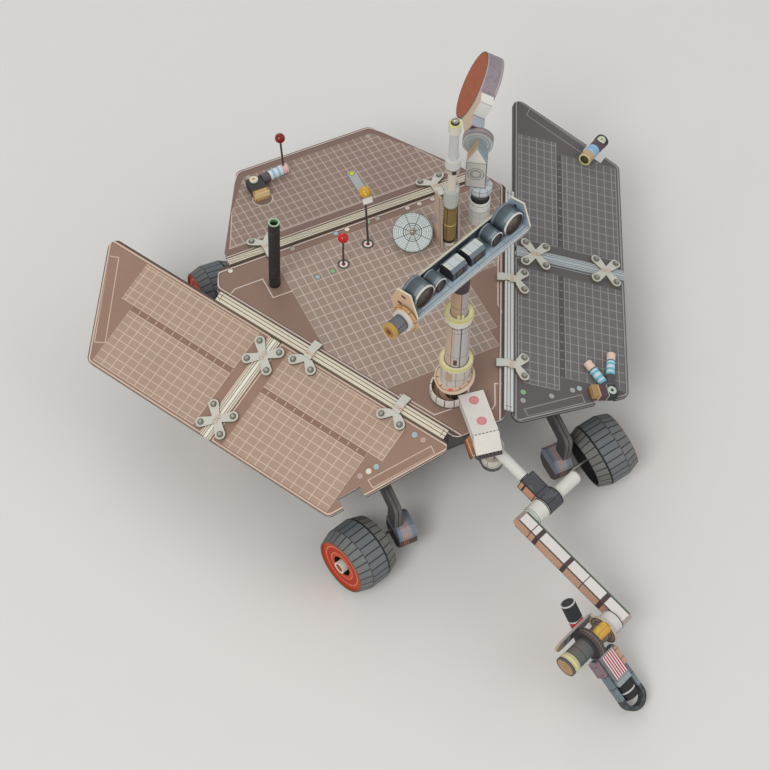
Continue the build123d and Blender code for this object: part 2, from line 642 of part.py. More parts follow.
# Camera bar with its ears, cameras, end plates and tilt drive
def build_bar():
    turn = bar_plane()
    floor = BAR_FLOOR_Z
    section = [
        (-BAR_FRONT, floor), (-BAR_FRONT, floor - BAR_LIP), (-BAR_FRONT + BAR_FLOOR, floor - BAR_LIP),
        (-BAR_FRONT + BAR_FLOOR, floor - BAR_FLOOR), (BAR_BACK + BAR_FLOOR, floor - BAR_FLOOR),
        (BAR_BACK + BAR_FLOOR, floor + BAR_BACK_WALL), (BAR_BACK, floor + BAR_BACK_WALL), (BAR_BACK, floor),
    ]
    side_view = Plane(origin=(-BAR_HALF, 0, 0), x_dir=(0, 1, 0), z_dir=(1, 0, 0))
    tray = extrude(side_view * make_face(Polyline(*section, close=True)), 2 * BAR_HALF)
    for sign in (-1, 1):
        middle = sign * (EAR_A + EAR_THICK / 2)
        ear = Pos(middle, 0, BAR_TILT_Z) * Rot(0, 90, 0) * Cylinder(EAR_RADIUS, EAR_THICK)
        rise = floor - BAR_FLOOR - BAR_TILT_Z
        tray += ear + Pos(middle, 0, BAR_TILT_Z + rise / 2) * Box(EAR_THICK, 2 * EAR_RADIUS, rise)
    tray += Pos(0, 0, BAR_TILT_Z) * Rot(0, 90, 0) * Cylinder(WIRE_RADIUS, 2 * EAR_A + EAR_THICK)
    keep("camera_tray", turn * tray)
    drums = []
    for sign in (-1, 1):
        big = camera_drum(BIG_DRUM_RADIUS, BIG_DRUM_LENGTH)
        drums.append(turn * Pos(sign * BIG_DRUM_A, 0, floor + BIG_DRUM_RADIUS) * big)
        small = camera_drum(SMALL_DRUM_RADIUS, SMALL_DRUM_LENGTH)
        drums.append(turn * Pos(sign * SMALL_DRUM_A, 0, floor + SMALL_DRUM_RADIUS) * small)
    keep("camera_drums", Compound(children=drums))
    cases = []
    for sign in (-1, 1):
        case = Pos(sign * CAMERA_BOX_A, 0, floor + CAMERA_BOX_HEIGHT / 2) * Box(
            CAMERA_BOX_WIDTH, CAMERA_BOX_DEPTH, CAMERA_BOX_HEIGHT)
        top = case.faces().sort_by(Axis.Z)[-1]
        cases.append(turn * chamfer(top.edges().filter_by(Axis.X), 0.9))
    keep("camera_boxes", Compound(children=cases))
    outline = [(-4.2, 0.6), (-3.2, -2.8), (3.2, -2.8), (4.4, 1.4), (2.6, 6.2), (-1.6, 7.0)]
    plates = []
    for start in (-BAR_HALF - END_PLATE, BAR_HALF):
        side_view = Plane(origin=(start, 0, floor), x_dir=(0, 1, 0), z_dir=(1, 0, 0))
        plates.append(turn * extrude(side_view * make_face(Polyline(*outline, close=True)), END_PLATE))
    keep("bar_end_plates", Compound(children=plates))
    outer = -BAR_HALF - END_PLATE
    line_y, line_z = -1.2, BAR_TILT_Z + 1.8
    drive = bar((outer - 0.5, line_y, line_z), (outer - 1.2, line_y, line_z), TILT_FLANGE_RADIUS)
    drive += bar((outer - 1.1, line_y, line_z), (outer - 2.0, line_y, line_z), TILT_RING_RADIUS)
    drive += bar((outer, line_y, line_z), (outer - TILT_CAN_LENGTH, line_y, line_z), TILT_CAN_RADIUS)
    keep("tilt_drive", turn * drive)


def dish_plane():
    """At the dish's foot: x along the tilt axis to the front, y against h, z up from the deck."""
    yaw = radians(GIMBAL_YAW)
    return Plane(origin=(DISH_X, DISH_Y, DECK_TOP), x_dir=(-sin(yaw), -cos(yaw), 0), z_dir=(0, 0, 1))


# High-gain antenna on its base, swivel, gimbal and neck
def build_dish():
    z = DECK_TOP
    base = disc(DISH_BASE_RADIUS, z, z + DISH_BASE_TOP, DISH_X, DISH_Y)
    base += disc(1.2, z + DISH_BASE_TOP, z + DISH_BASE_TOP + 2.0, DISH_X, DISH_Y)
    keep("dish_base", base)
    start = z + DISH_BASE_TOP + RUNNING_GAP
    swivel = disc(DISH_SWIVEL_RADIUS, start, z + DISH_SWIVEL_TOP, DISH_X, DISH_Y)
    swivel += disc(DISH_PLATE_RADIUS, z + DISH_SWIVEL_TOP, z + DISH_PLATE_TOP, DISH_X, DISH_Y)
    swivel -= disc(1.2 + RUNNING_GAP, start - 1, start + 2.2, DISH_X, DISH_Y)
    keep("dish_swivel", swivel)
    turn = dish_plane()
    left = -GIMBAL_SHIFT - GIMBAL_WIDTH / 2
    right = -GIMBAL_SHIFT + GIMBAL_WIDTH / 2
    front_view = Plane(origin=(GIMBAL_BACK, 0, 0), x_dir=(0, 1, 0), z_dir=(1, 0, 0))
    outline = [
        (left, DISH_PLATE_TOP), (right, DISH_PLATE_TOP), (right, GIMBAL_BOX_TOP),
        (-GIMBAL_SHIFT, GIMBAL_GABLE_TOP), (left, GIMBAL_BOX_TOP),
    ]
    box = extrude(front_view * make_face(Polyline(*outline, close=True)), GIMBAL_FRONT - GIMBAL_BACK)
    drum_start = GIMBAL_BACK - 0.1
    drum_end = drum_start - TILT_DRUM_THICK
    axis_start = (GIMBAL_BACK + 0.2, -TILT_H, TILT_Z)
    box += bar(axis_start, (drum_end + 0.3, -TILT_H, TILT_Z), TILT_PIN_RADIUS)
    keep("gimbal_box", turn * box)
    drum = bar((drum_start, -TILT_H, TILT_Z), (drum_end, -TILT_H, TILT_Z), TILT_DRUM_RADIUS)
    pitch = radians(DISH_PITCH)
    normal = Vector(0, -cos(pitch), sin(pitch))
    upwards = Vector(0, sin(pitch), cos(pitch))
    axis = Vector(0, -TILT_H, TILT_Z)
    face = axis + normal * DISH_FACE + Vector(DISH_BACK_F, 0, 0) - upwards * DISH_DROP
    plate = bar(tuple(face - normal * DISH_THICK), tuple(face), DISH_RADIUS)
    keep("dish", turn * plate)
    neck_start = axis + normal * (DISH_FACE - 0.2 - NECK_THICK)
    neck_view = Plane(origin=tuple(neck_start), x_dir=(1, 0, 0), z_dir=tuple(normal))
    neck = extrude(neck_view * make_face(Polyline(*NECK_POINTS, close=True)), NECK_THICK)
    neck += drum
    neck -= bar((drum_start + 1, -TILT_H, TILT_Z), (drum_end, -TILT_H, TILT_Z), TILT_PIN_RADIUS + RUNNING_GAP)
    keep("dish_neck", turn * (neck - plate))


# Low-gain stack between its two tapered fairing plates
def build_low_gain():
    stack = None
    bottom = DECK_TOP
    for top, radius in LOW_GAIN_STEPS:
        step = disc(radius, bottom, DECK_TOP + top, LOW_GAIN_X, LOW_GAIN_Y)
        stack = step if stack is None else stack + step
        bottom = DECK_TOP + top
    keep("low_gain_stack", stack)
    fairings = []
    for sign, height, near, far in ((-1, 19.0, 1.2, 4.4), (1, 22.0, 1.2, 4.4)):
        outline = [(-near, 0), (far, 0), (far - 0.4, height), (0.8, height)]
        start_x = LOW_GAIN_X + sign * (2.4 + THIN_CARD / 2) - THIN_CARD / 2
        view = Plane(origin=(start_x, LOW_GAIN_Y, DECK_TOP), x_dir=(0, 1, 0), z_dir=(1, 0, 0))
        fairings.append(extrude(view * make_face(Polyline(*outline, close=True)), THIN_CARD))
    keep("fairing_plates", Compound(children=fairings))


# Black tube mast, round printed disc and the pins
def build_pins():
    lean = Pos(TUBE_X, TUBE_Y, DECK_TOP) * Rot(0, -TUBE_LEAN, 0)
    tube = lean * Pos(0, 0, -2) * Cylinder(TUBE_RADIUS, TUBE_HEIGHT + 2, align=(Align.CENTER, Align.CENTER, Align.MIN))
    tube -= lean * Pos(0, 0, TUBE_HEIGHT - 8) * Cylinder(TUBE_BORE, 9, align=(Align.CENTER, Align.CENTER, Align.MIN))
    tube -= Pos(TUBE_X, TUBE_Y, DECK_TOP - 5) * Box(20, 20, 10)
    keep("tube_mast", tube)
    tilt = radians(DISC_TILT)
    square_to_disc = (-0.433 * sin(tilt), -0.901 * sin(tilt), cos(tilt))
    disc_plane = Plane(origin=(DISC_X, DISC_Y, DECK_TOP + DISC_RISE), z_dir=square_to_disc)
    keep("printed_disc", disc_plane * (disc(DISC_RADIUS, 0, THIN_CARD) - disc(0.3, -1, 2)))
    head = THIN_CARD + 0.92
    steel = disc_plane * (disc(0.28, -DISC_RISE - 3, head) + Pos(0, 0, head) * Sphere(0.9))
    steel -= Pos(DISC_X, DISC_Y, DECK_TOP - 5) * Box(20, 20, 10)
    tip_z = DECK_TOP + LOW_GAIN_STEPS[-1][0]
    low_pin = Pos(LOW_GAIN_X, LOW_GAIN_Y, tip_z + 0.65) * Sphere(0.95)
    low_pin -= disc(3, tip_z - 3, tip_z, LOW_GAIN_X, LOW_GAIN_Y)
    keep("steel_pins", Compound(children=[steel, low_pin]))
    red_x, red_y, red_z = -9.5, 65.7, DECK_TOP + 11.4
    red = disc(0.3, DECK_TOP, red_z, red_x, red_y) + Pos(red_x, red_y, red_z) * Sphere(PIN_HEAD_RADIUS)
    plane, can, base = rear_instrument()
    pin_plane = plane * Pos(-9.4, 29.8, 2.0)
    rear = pin_plane * bar((0, 0, 0), (0, 0, 10.0), 0.3) - can
    rear += pin_plane * Pos(0, 0, 11.2) * Sphere(PIN_HEAD_RADIUS)
    keep("red_pins", Compound(children=[red, rear]))
    amber_x, amber_y, amber_z = 0.0, 69.6, DECK_TOP + 22.4
    amber = bar((amber_x, amber_y, DECK_TOP), (amber_x - 1.0, amber_y, amber_z), 0.3)
    amber -= Pos(amber_x, amber_y, DECK_TOP - 5) * Box(10, 10, 10)
    amber += Pos(amber_x - 1.0, amber_y, amber_z) * Sphere(1.7)
    keep("amber_pin", amber)


def arm_plane():
    """At the shoulder: x forwards along the arm, y along the elbow axis to the left, z up."""
    heading = radians(ARM_HEADING)
    return Plane(origin=(SHOULDER_X, SHOULDER_Y, SHOULDER_Z), x_dir=(sin(heading), -cos(heading), 0), z_dir=(0, 0, 1))


def cross_bar(start, end, radius, f, z):
    """Round bar parallel to the elbow axis, from one place along it to another."""
    return bar((f, start, z), (f, end, z), radius)


# Robot arm up to the wrist drum
def build_arm():
    plane = arm_plane()
    drop = SHOULDER_Z
    block = Pos(SHOULDER_X, (SHOULDER_Y + BODY_FRONT_Y) / 2, ARM_BRACKET_Z - 0.75) * Box(
        2 * SHOULDER_RADIUS, BODY_FRONT_Y - SHOULDER_Y, 1.5)
    block += disc(SHOULDER_RADIUS, ARM_BRACKET_Z - 1.5, ARM_BRACKET_Z, SHOULDER_X, SHOULDER_Y)
    block += disc(1.2, ARM_BRACKET_Z, ARM_BRACKET_Z + 2.0, SHOULDER_X, SHOULDER_Y)
    keep("arm_bracket", block)
    start = ARM_BRACKET_Z + RUNNING_GAP
    can = disc(SHOULDER_RADIUS, start, SHOULDER_CAN_TOP, SHOULDER_X, SHOULDER_Y)
    can -= disc(1.2 + RUNNING_GAP, start - 1, start + 2.2, SHOULDER_X, SHOULDER_Y)
    ears = None
    for sign in (-1, 1):
        middle = sign * (SHOULDER_EAR_A + SHOULDER_EAR_THICK / 2)
        low = SHOULDER_CAN_TOP - drop
        ear = cross_bar(middle - SHOULDER_EAR_THICK / 2, middle + SHOULDER_EAR_THICK / 2, SHOULDER_EYE_RADIUS, 0, 0)
        ear += Pos(0, middle, low / 2) * Box(2 * SHOULDER_EYE_RADIUS, SHOULDER_EAR_THICK, -low)
        ears = ear if ears is None else ears + ear
    reach = SHOULDER_EAR_A + SHOULDER_EAR_THICK
    ears += cross_bar(-reach, reach, ARM_PIN_RADIUS, 0, 0)
    keep("shoulder_can", can + plane * ears)
    pitch = radians(UPPER_ARM_PITCH)
    elbow_f = UPPER_ARM_LENGTH * cos(pitch)
    elbow_z = UPPER_ARM_LENGTH * sin(pitch)
    along = Plane(origin=(0, 0, 0), x_dir=(cos(pitch), 0, sin(pitch)), z_dir=(-sin(pitch), 0, cos(pitch)))
    eye = cross_bar(-SHOULDER_EAR_A + 0.1, SHOULDER_EAR_A - 0.1, SHOULDER_EYE_RADIUS, 0, 0)
    tube = along * bar((0.6, 0, 0), (ELBOW_SLEEVE_START + 0.5, 0, 0), UPPER_TUBE_RADIUS)
    upper = eye + tube - cross_bar(-4, 4, ARM_PIN_RADIUS + RUNNING_GAP, 0, 0)
    sleeve_end = UPPER_ARM_LENGTH
    sleeve_length = sleeve_end - ELBOW_SLEEVE_START
    sleeve = along * Pos(ELBOW_SLEEVE_START + sleeve_length / 2, 0, 0) * Box(
        sleeve_length, ELBOW_SLEEVE_WIDTH, ELBOW_SLEEVE_HEIGHT)
    round_collar = cross_bar(-4, 4, ELBOW_COLLAR_RADIUS, elbow_f, elbow_z)
    keep("upper_arm", plane * (upper + sleeve - round_collar))
    collar = cross_bar(ELBOW_COLLAR_FROM, ELBOW_COLLAR_TO, ELBOW_COLLAR_RADIUS, elbow_f, elbow_z)
    collar -= cross_bar(ELBOW_COLLAR_FROM - 1, ELBOW_COLLAR_FROM + 2.4, 0.8 + RUNNING_GAP, elbow_f, elbow_z)
    collar += cross_bar(ELBOW_COLLAR_TO, ELBOW_TUBE_TO, ELBOW_TUBE_RADIUS, elbow_f, elbow_z)
    keep("elbow_drive", plane * collar)
    drum_from = ELBOW_COLLAR_FROM - RUNNING_GAP
    drum = cross_bar(drum_from, ELBOW_DRUM_TO, ELBOW_DRUM_RADIUS, elbow_f, elbow_z)
    drum += cross_bar(ELBOW_COLLAR_FROM + 2.2, drum_from, 0.8, elbow_f, elbow_z)
    keep("elbow_drum", plane * drum)
    build_forearm(plane, elbow_f, elbow_z)


def build_forearm(plane, elbow_f, elbow_z):
    pitch = radians(FOREARM_PITCH)
    beam_plane = Plane(
        origin=(elbow_f, ELBOW_DRUM_TO, elbow_z), x_dir=(cos(pitch), 0, sin(pitch)), z_dir=(0, -1, 0))
    half = BEAM_HEIGHT / 2
    outline = [
        (-2.6, -half + 1.4), (-1.4, -half), (FOREARM_LENGTH + 1.6, -half), (FOREARM_LENGTH + 2.9, -half + 1.6),
        (FOREARM_LENGTH + 2.9, half - 1.2), (FOREARM_LENGTH + 1.9, half), (-1.4, half), (-2.6, half - 1.6),
    ]
    beam = extrude(beam_plane * make_face(Polyline(*outline, close=True)), BEAM_WIDTH)
    keep("forearm_beam", plane * beam)
    wrist_f = elbow_f + FOREARM_LENGTH * cos(pitch)
    wrist_z = elbow_z + FOREARM_LENGTH * sin(pitch)
    beam_end = ELBOW_DRUM_TO - BEAM_WIDTH
    drum_end = beam_end - WRIST_DRUM_LENGTH
    wrist = cross_bar(beam_end, drum_end, WRIST_DRUM_RADIUS, wrist_f, wrist_z)
    wrist -= cross_bar(drum_end - 1, drum_end + 2.2, 0.8 + RUNNING_GAP, wrist_f, wrist_z)
    keep("wrist_drum", plane * wrist)
    build_turret(plane, wrist_f, wrist_z, drum_end)


# Turret: everything that turns together beyond the wrist
def build_turret(plane, f, z, start):
    start -= RUNNING_GAP
    turret = Pos(f, 0, z)
    frame_end = start - FRAME_LENGTH
    frame = bar((0, start, 0), (0, frame_end, 0), 2.6)
    frame += bar((0, start, 0), (0, start - FLANGE_THICK, 0), FLANGE_RADIUS)
    frame += bar((0, start + 2.2, 0), (0, start, 0), 0.8)
    plate_middle = start - PLATE_LENGTH / 2
    side = Pos(PLATE_F, plate_middle, 0.2) * Box(0.7, PLATE_LENGTH - 4.4, 4.4)
    for place in (start - 2.2, start - PLATE_LENGTH + 2.2):
        side += bar((PLATE_F - 0.35, place, 0.2), (PLATE_F + 0.35, place, 0.2), 2.2)
    frame += side
    frame += Pos(PLATE_F / 2, start - FLANGE_THICK / 2, 0.2) * Box(-PLATE_F, FLANGE_THICK, 4.0)
    gold = bar((0.6, start - 0.4, 2.6), (0.6, frame_end, 2.6), 1.7)
    keep("turret_frame", plane * turret * (frame - gold))
    keep("gold_can", plane * turret * gold)
    collar_end = frame_end - TURRET_COLLAR_LENGTH
    keep("turret_collar", plane * turret * bar((0, frame_end, 0), (0, collar_end, 0), TURRET_COLLAR_RADIUS))
    can_end = collar_end - BIG_CAN_LENGTH
    can = bar((0, collar_end, 0), (0, can_end, 0), BIG_CAN_RADIUS)
    can += bar((0, can_end, 0), (0, can_end - CAN_CAP_LENGTH, 0), CAN_CAP_RADIUS)
    keep("turret_can", plane * turret * can)
    tilt = Rot(0, -GRINDER_PITCH, 0)
    inner = TURRET_COLLAR_RADIUS + 0.05
    outer = GRINDER_LENGTH
    middle = (start + collar_end) / 2 - 1.2
    case_length = GRINDER_CASE_LENGTH
    head_start = inner + case_length
    case = tilt * Pos(inner - 1 + case_length / 2, middle, 0) * Box(case_length + 2, 4.8, 4.4)
    case += tilt * bar((head_start, middle, 0), (head_start + GRINDER_HEAD_LENGTH, middle, 0), 2.3)
    hub = bar((0, 0, 0), (0, -40, 0), TURRET_COLLAR_RADIUS)
    keep("grinder", plane * turret * (case - hub))
    bail_half = BAIL_HALF
    arc_start = outer - bail_half
    path_out = make_face(Polyline((inner - 1, -bail_half), (arc_start, -bail_half), (arc_start, bail_half),
                                  (inner - 1, bail_half), close=True))
    path_out += Pos(arc_start, 0) * Circle(bail_half)
    inner_half = bail_half - BAIL_STRIP
    path_in = make_face(Polyline((-5, -inner_half), (arc_start, -inner_half), (arc_start, inner_half),
                                 (-5, inner_half), close=True))
    path_in += Pos(arc_start, 0) * Circle(inner_half)
    bail = extrude(path_out - path_in, 1.1, both=True)
    bail = tilt * Pos(0, middle, 0) * bail
    keep("grinder_bail", plane * turret * (bail - hub))
    foot = Pos(PLATE_F - 0.35, start - 4.4, 1.0) * Rot(0, -36, 0)
    black = foot * bar((0, 0, 0), (0, 0, BLACK_CAN_LENGTH), BLACK_CAN_RADIUS)
    black -= Pos(PLATE_F + 9.65, start - 4.4, 0) * Box(20, 20, 40)
    keep("black_can", plane * turret * black)


# The cover over the arm's turning head
def cover_plane():
    """At the cover's rear end on the deck: x forwards along it, y across it, z up."""
    yaw = radians(COVER_YAW)
    return Plane(
        origin=(COVER_START[0], COVER_START[1], DECK_TOP), x_dir=(-sin(yaw), -cos(yaw), 0), z_dir=(0, 0, 1))


def build_cover():
    frame = cover_plane()
    top = COVER_THICK + 0.6
    profile = [(0, 0), (0, top), (13.6, top), (17.8, -2.0), (16.4, -3.2), (12.4, 0)]
    view = Plane(origin=(0, -COVER_WIDTH / 2, 0), x_dir=(1, 0, 0), z_dir=(0, -1, 0))
    body = extrude(view * make_face(Polyline(*profile, close=True)), -COVER_WIDTH)
    keep("front_cover", frame * body)


# Small printed instruments at the panels' edges
def rear_instrument():
    """Plane of the rear panel, with the lying can and the ring beside it."""
    plane = rear_plane()
    base = plane * Pos(-19.4, 25.6, 0) * Box(4.6, 7.4, 2.6, align=(Align.CENTER, Align.CENTER, Align.MIN))
    base += plane * disc(1.25, 2.6, 3.3, -19.5, 28.0)
    can = plane * Pos(0, 0, 1.5) * bar((-17.0, 28.7, 0), (-8.4, 29.9, 0), 1.5)
    return plane, can, base


def build_instruments():
    plane, can, base = rear_instrument()
    keep("rear_instrument", Compound(children=[base, can]))
    wing, flip = wing_plane("left")
    lift = Pos(0, 0, REAR_CAN_RADIUS)
    rear = wing * lift * bar((*REAR_CAN_START, 0), (*REAR_CAN_END, 0), REAR_CAN_RADIUS)
    way = Vector(REAR_CAN_END[0] - REAR_CAN_START[0], REAR_CAN_END[1] - REAR_CAN_START[1], 0).normalized()
    start = Vector(*REAR_CAN_START, 0)
    rear -= wing * lift * bar(tuple(start - way), tuple(start + way * 1.2), REAR_CAN_RADIUS - 0.55)
    end = Vector(*REAR_CAN_END, 0)
    rear += wing * lift * bar(tuple(end - way * 1.6), tuple(end), REAR_CAN_RADIUS + 0.15)
    box = wing * Pos(28.5, 14.9, 0) * Rot(0, 0, 14.3) * Box(
        7.4, 3.6, 2.6, align=(Align.CENTER, Align.CENTER, Align.MIN))
    first = wing * Pos(0, 0, 1.2) * bar((30.0, 16.8, 0), (24.2, 24.0, 0), 1.2)
    second = wing * Pos(0, 0, 1.2) * bar((30.6, 16.8, 0), (31.4, 28.6, 0), 1.2)
    keep("wing_cameras", Compound(children=[rear, box + first + second]))


build_panels()
build_strips()
build_brackets()
build_body()
build_legs()
build_wheels()
build_mast()
build_bar()
build_dish()
build_low_gain()
build_pins()
build_arm()
build_cover()
build_instruments()

for name, shape in parts.items():
    export_step(Pos(-ORIGIN_X, -ORIGIN_Y, 0) * shape, "parts/" + name + ".step")
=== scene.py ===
# Card scale model of a six-wheeled planetary rover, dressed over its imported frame.
# The file follows the model as its maker glues it together. Places are metres in the
# frame's own coordinates, and sizes that end in no unit are millimetres.
import bpy
from math import cos, hypot, radians, sin, tau
from mathutils import Matrix, Vector


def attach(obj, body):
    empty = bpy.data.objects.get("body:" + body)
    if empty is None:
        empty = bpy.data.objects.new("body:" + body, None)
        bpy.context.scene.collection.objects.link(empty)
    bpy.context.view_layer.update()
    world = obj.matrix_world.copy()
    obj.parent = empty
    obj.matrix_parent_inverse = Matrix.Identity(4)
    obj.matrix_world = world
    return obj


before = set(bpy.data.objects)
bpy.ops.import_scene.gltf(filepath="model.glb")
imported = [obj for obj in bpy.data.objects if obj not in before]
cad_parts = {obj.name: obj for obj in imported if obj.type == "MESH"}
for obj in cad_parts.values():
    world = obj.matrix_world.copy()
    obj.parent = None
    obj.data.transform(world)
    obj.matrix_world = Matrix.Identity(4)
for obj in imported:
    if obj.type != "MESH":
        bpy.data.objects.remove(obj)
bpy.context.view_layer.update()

# The solar deck: one sheet of thick card, printed mauve brown with a pale grid of cells,
# glued flat on the body box. Its cut edge shows pale layers over a dark back. Every
# other printed piece of the model is the same card, so its ink and paper start here.
DECK_HEIGHT = 39.0
MIDDLE_X = 0.24
MIDDLE_Y = 19.91
UP = Vector((0, 0, 1))
LEFT = Vector((1, 0, 0))
AFT = Vector((0, 1, 0))


def spot(x, y, above_deck):
    """A place in the model's plan, with its height above the deck's top."""
    return Vector((x - MIDDLE_X, y - MIDDLE_Y, above_deck + DECK_HEIGHT)) / 1000


def ink(red, green, blue):
    """A printed colour, given from 0 to 255 as it looks on the paper."""
    levels = []
    for channel in (red, green, blue):
        share = channel / 255
        levels.append(share / 12.92 if share <= 0.04045 else ((share + 0.055) / 1.055) ** 2.4)
    return (*levels, 1.0)


class Amount:
    """A number that varies over a surface. Arithmetic on it adds Math nodes."""

    def __init__(self, card, socket):
        self.card = card
        self.socket = socket

    def __rsub__(self, other):
        return self.card.work("SUBTRACT", other, self)

    def __abs__(self):
        return self.card.work("ABSOLUTE", self)

    def within(self, low, high):
        """A mask between two values."""
        return (self > low) & (self < high)

    def line(self, at, width):
        """A mask of one line."""
        return abs(self - at) < width / 2

    def lines(self, first, pitch, width):
        """A mask of evenly spaced lines."""
        return abs((self - first + pitch / 2) % pitch - pitch / 2) < width / 2


def adds_node(operation):
    """An operator of Amount that adds a Math node of this kind."""
    return lambda self, other: self.card.work(operation, self, other)


OPERATORS = {
    # Python's name: the node's operation, where & is a product and | the larger one
    "add": "ADD", "radd": "ADD", "sub": "SUBTRACT", "mul": "MULTIPLY", "rmul": "MULTIPLY",
    "truediv": "DIVIDE", "mod": "FLOORED_MODULO", "lt": "LESS_THAN", "gt": "GREATER_THAN",
    "and": "MULTIPLY", "or": "MAXIMUM",
}
for method, operation in OPERATORS.items():
    setattr(Amount, "__" + method + "__", adds_node(operation))


class Card:
    """One finish of printed card: a base colour with layers of ink over it."""

    def __init__(self, piece, base, roughness=0.68):
        self.piece = piece
        self.material = bpy.data.materials.new(piece)
        self.material.use_nodes = True
        self.tree = self.material.node_tree
        self.shader = self.tree.nodes["Principled BSDF"]
        self.colour = ink(*base)
        self.roughness = roughness
        self.place = self.node("ShaderNodeTexCoord", {}, {})["Object"]

    def node(self, kind, settings, values):
        """Adds a node and returns its outputs."""
        made = self.tree.nodes.new(kind)
        for name, setting in settings.items():
            setattr(made, name, setting)
        for where, value in values.items():
            self.feed(made.inputs[where], value)
        return made.outputs

    def feed(self, socket, value):
        """Links an amount or an output to an input, or sets a plain value there."""
        if isinstance(value, Amount):
            self.tree.links.new(value.socket, socket)
        elif isinstance(value, bpy.types.NodeSocket):
            self.tree.links.new(value, socket)
        else:
            socket.default_value = value

    def work(self, operation, *values):
        """Adds a Math node."""
        made = self.node("ShaderNodeMath", {"operation": operation}, dict(enumerate(values)))
        return Amount(self, made[0])

    def along(self, start, direction):
        """Millimetres from a place in the model, along a direction."""
        reach = direction.normalized() * 1000
        values = {0: self.place, 1: reach}
        made = self.node("ShaderNodeVectorMath", {"operation": "DOT_PRODUCT"}, values)
        return Amount(self, made["Value"]) - start.dot(reach)

    def around(self, across, up):
        """Distance from an axis, and the angle round it in turns from 0 to 1."""
        radius = self.work("SQRT", across * across + up * up)
        turns = self.work("ARCTAN2", up, across) / tau
        return radius, turns % 1.0

    def axis(self, at, way, across):
        """Millimetres along a round piece, those from its axis, and the turns round it."""
        way = way.normalized()
        first = (across - way * across.dot(way)).normalized()
        radius, turn = self.around(self.along(at, first), self.along(at, way.cross(first)))
        return self.along(at, way), radius, turn

    def facing(self, way):
        """How squarely the surface faces a direction, from -1 to 1."""
        values = {0: self.node("ShaderNodeTexCoord", {}, {})["Normal"], 1: way.normalized()}
        made = self.node("ShaderNodeVectorMath", {"operation": "DOT_PRODUCT"}, values)
        return Amount(self, made["Value"])

    def rounded(self, corner, *sides):
        """The outermost of several sides, with the corners between them rounded."""
        border = sides[0]
        for side in sides[1:]:
            border = self.work("SMOOTH_MAX", border, side, corner)
        return border

    def spread(self, x, y, at):
        """Distance from a point, in the plane of two amounts."""
        away_x = x - at[0]
        away_y = y - at[1]
        return self.work("SQRT", away_x * away_x + away_y * away_y)

    def stroke(self, x, y, start, end, width):
        """A mask of a straight pen stroke."""
        length = hypot(end[0] - start[0], end[1] - start[1])
        step_x = (end[0] - start[0]) / length
        step_y = (end[1] - start[1]) / length
        away_x = x - start[0]
        away_y = y - start[1]
        along = away_x * step_x + away_y * step_y
        beside = away_x * step_y - away_y * step_x
        return along.within(-width / 2, length + width / 2) & beside.line(0, width)

    def outline(self, x, y, corners, width):
        """A mask of pen strokes from corner to corner."""
        drawn = self.stroke(x, y, corners[0], corners[1], width)
        for start, end in zip(corners[1:], corners[2:]):
            drawn = drawn | self.stroke(x, y, start, end, width)
        return drawn

    def blotches(self, size, detail=2.0):
        """Soft noise from 0 to 1, with blotches of this size in millimetres."""
        values = {"Vector": self.place, "Scale": 1000 / size, "Detail": detail}
        return Amount(self, self.node("ShaderNodeTexNoise", {}, values)["Fac"])

    def print(self, where, colour):
        """Lays a colour over what is there, where the mask says."""
        values = {0: where, 6: self.colour, 7: ink(*colour)}
        self.colour = self.node("ShaderNodeMix", {"data_type": "RGBA"}, values)[2]

    def shade(self, amount):
        """Multiplies the colour by an amount, which is 1 where nothing changes."""
        settings = {"data_type": "RGBA", "blend_type": "MULTIPLY"}
        self.colour = self.node("ShaderNodeMix", settings, {0: 1.0, 6: self.colour, 7: amount})[2]

    def lay(self, *layers, only=None):
        """Prints layers of (mask, colour) in turn, all of them only where a mask says."""
        for where, colour in layers:
            self.print(where if only is None else only & where, colour)
        return self

    def dot(self, away, rim, rim_colour, inside, colour):
        """Prints a round dot with a rim, by the distance from its middle."""
        self.lay((away < rim, rim_colour), (away < inside, colour))

    def rim(self, border, dark, light, outside):
        """Prints two lines and a rim inside a sheet's outline, whose border is 0."""
        self.lay((border.within(-0.98, -0.74), dark), (border.within(-0.74, -0.34), light))
        self.print(border > -0.14, outside)

    def cut_edge(self, under, pale):
        """Shows the card's layers below its printed face: under is the depth under it."""
        self.lay((under > 0.08, pale), (under > CARD_THICKNESS * 0.55, DARK_BACK))

    def finish(self, grain=0.1, mottle=0.07, fibre=0.35):
        """Adds the print's grain, uneven ink and paper fibres, and returns the material."""
        fine = self.blotches(0.34, 1.0)
        broad = self.blotches(9.0, 3.0)
        self.shade((fine - 0.5) * (2 * grain) + (broad - 0.5) * (2 * mottle) + 1.0)
        self.feed(self.shader.inputs["Base Color"], self.colour)
        self.feed(self.shader.inputs["Roughness"], (fine - 0.5) * 0.12 + self.roughness)
        fibres = self.blotches(0.6, 4.0)
        bump = self.node("ShaderNodeBump", {}, {"Strength": fibre, "Distance": 0.00004, "Height": fibres})
        self.feed(self.shader.inputs["Normal"], bump["Normal"])
        return self.material

    def dress(self, *others, **grains):
        """Finishes the card and gives it to the piece of the same name, and to others."""
        material = self.finish(**grains)
        for piece in (self.piece, *others):
            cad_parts[piece].data.materials[0] = material


def sheet(piece, base, start, *ways):
    """A card for a flat piece, with its millimetres from a place along each direction."""
    card = Card(piece, base)
    return card, *(card.along(start, way) for way in ways)


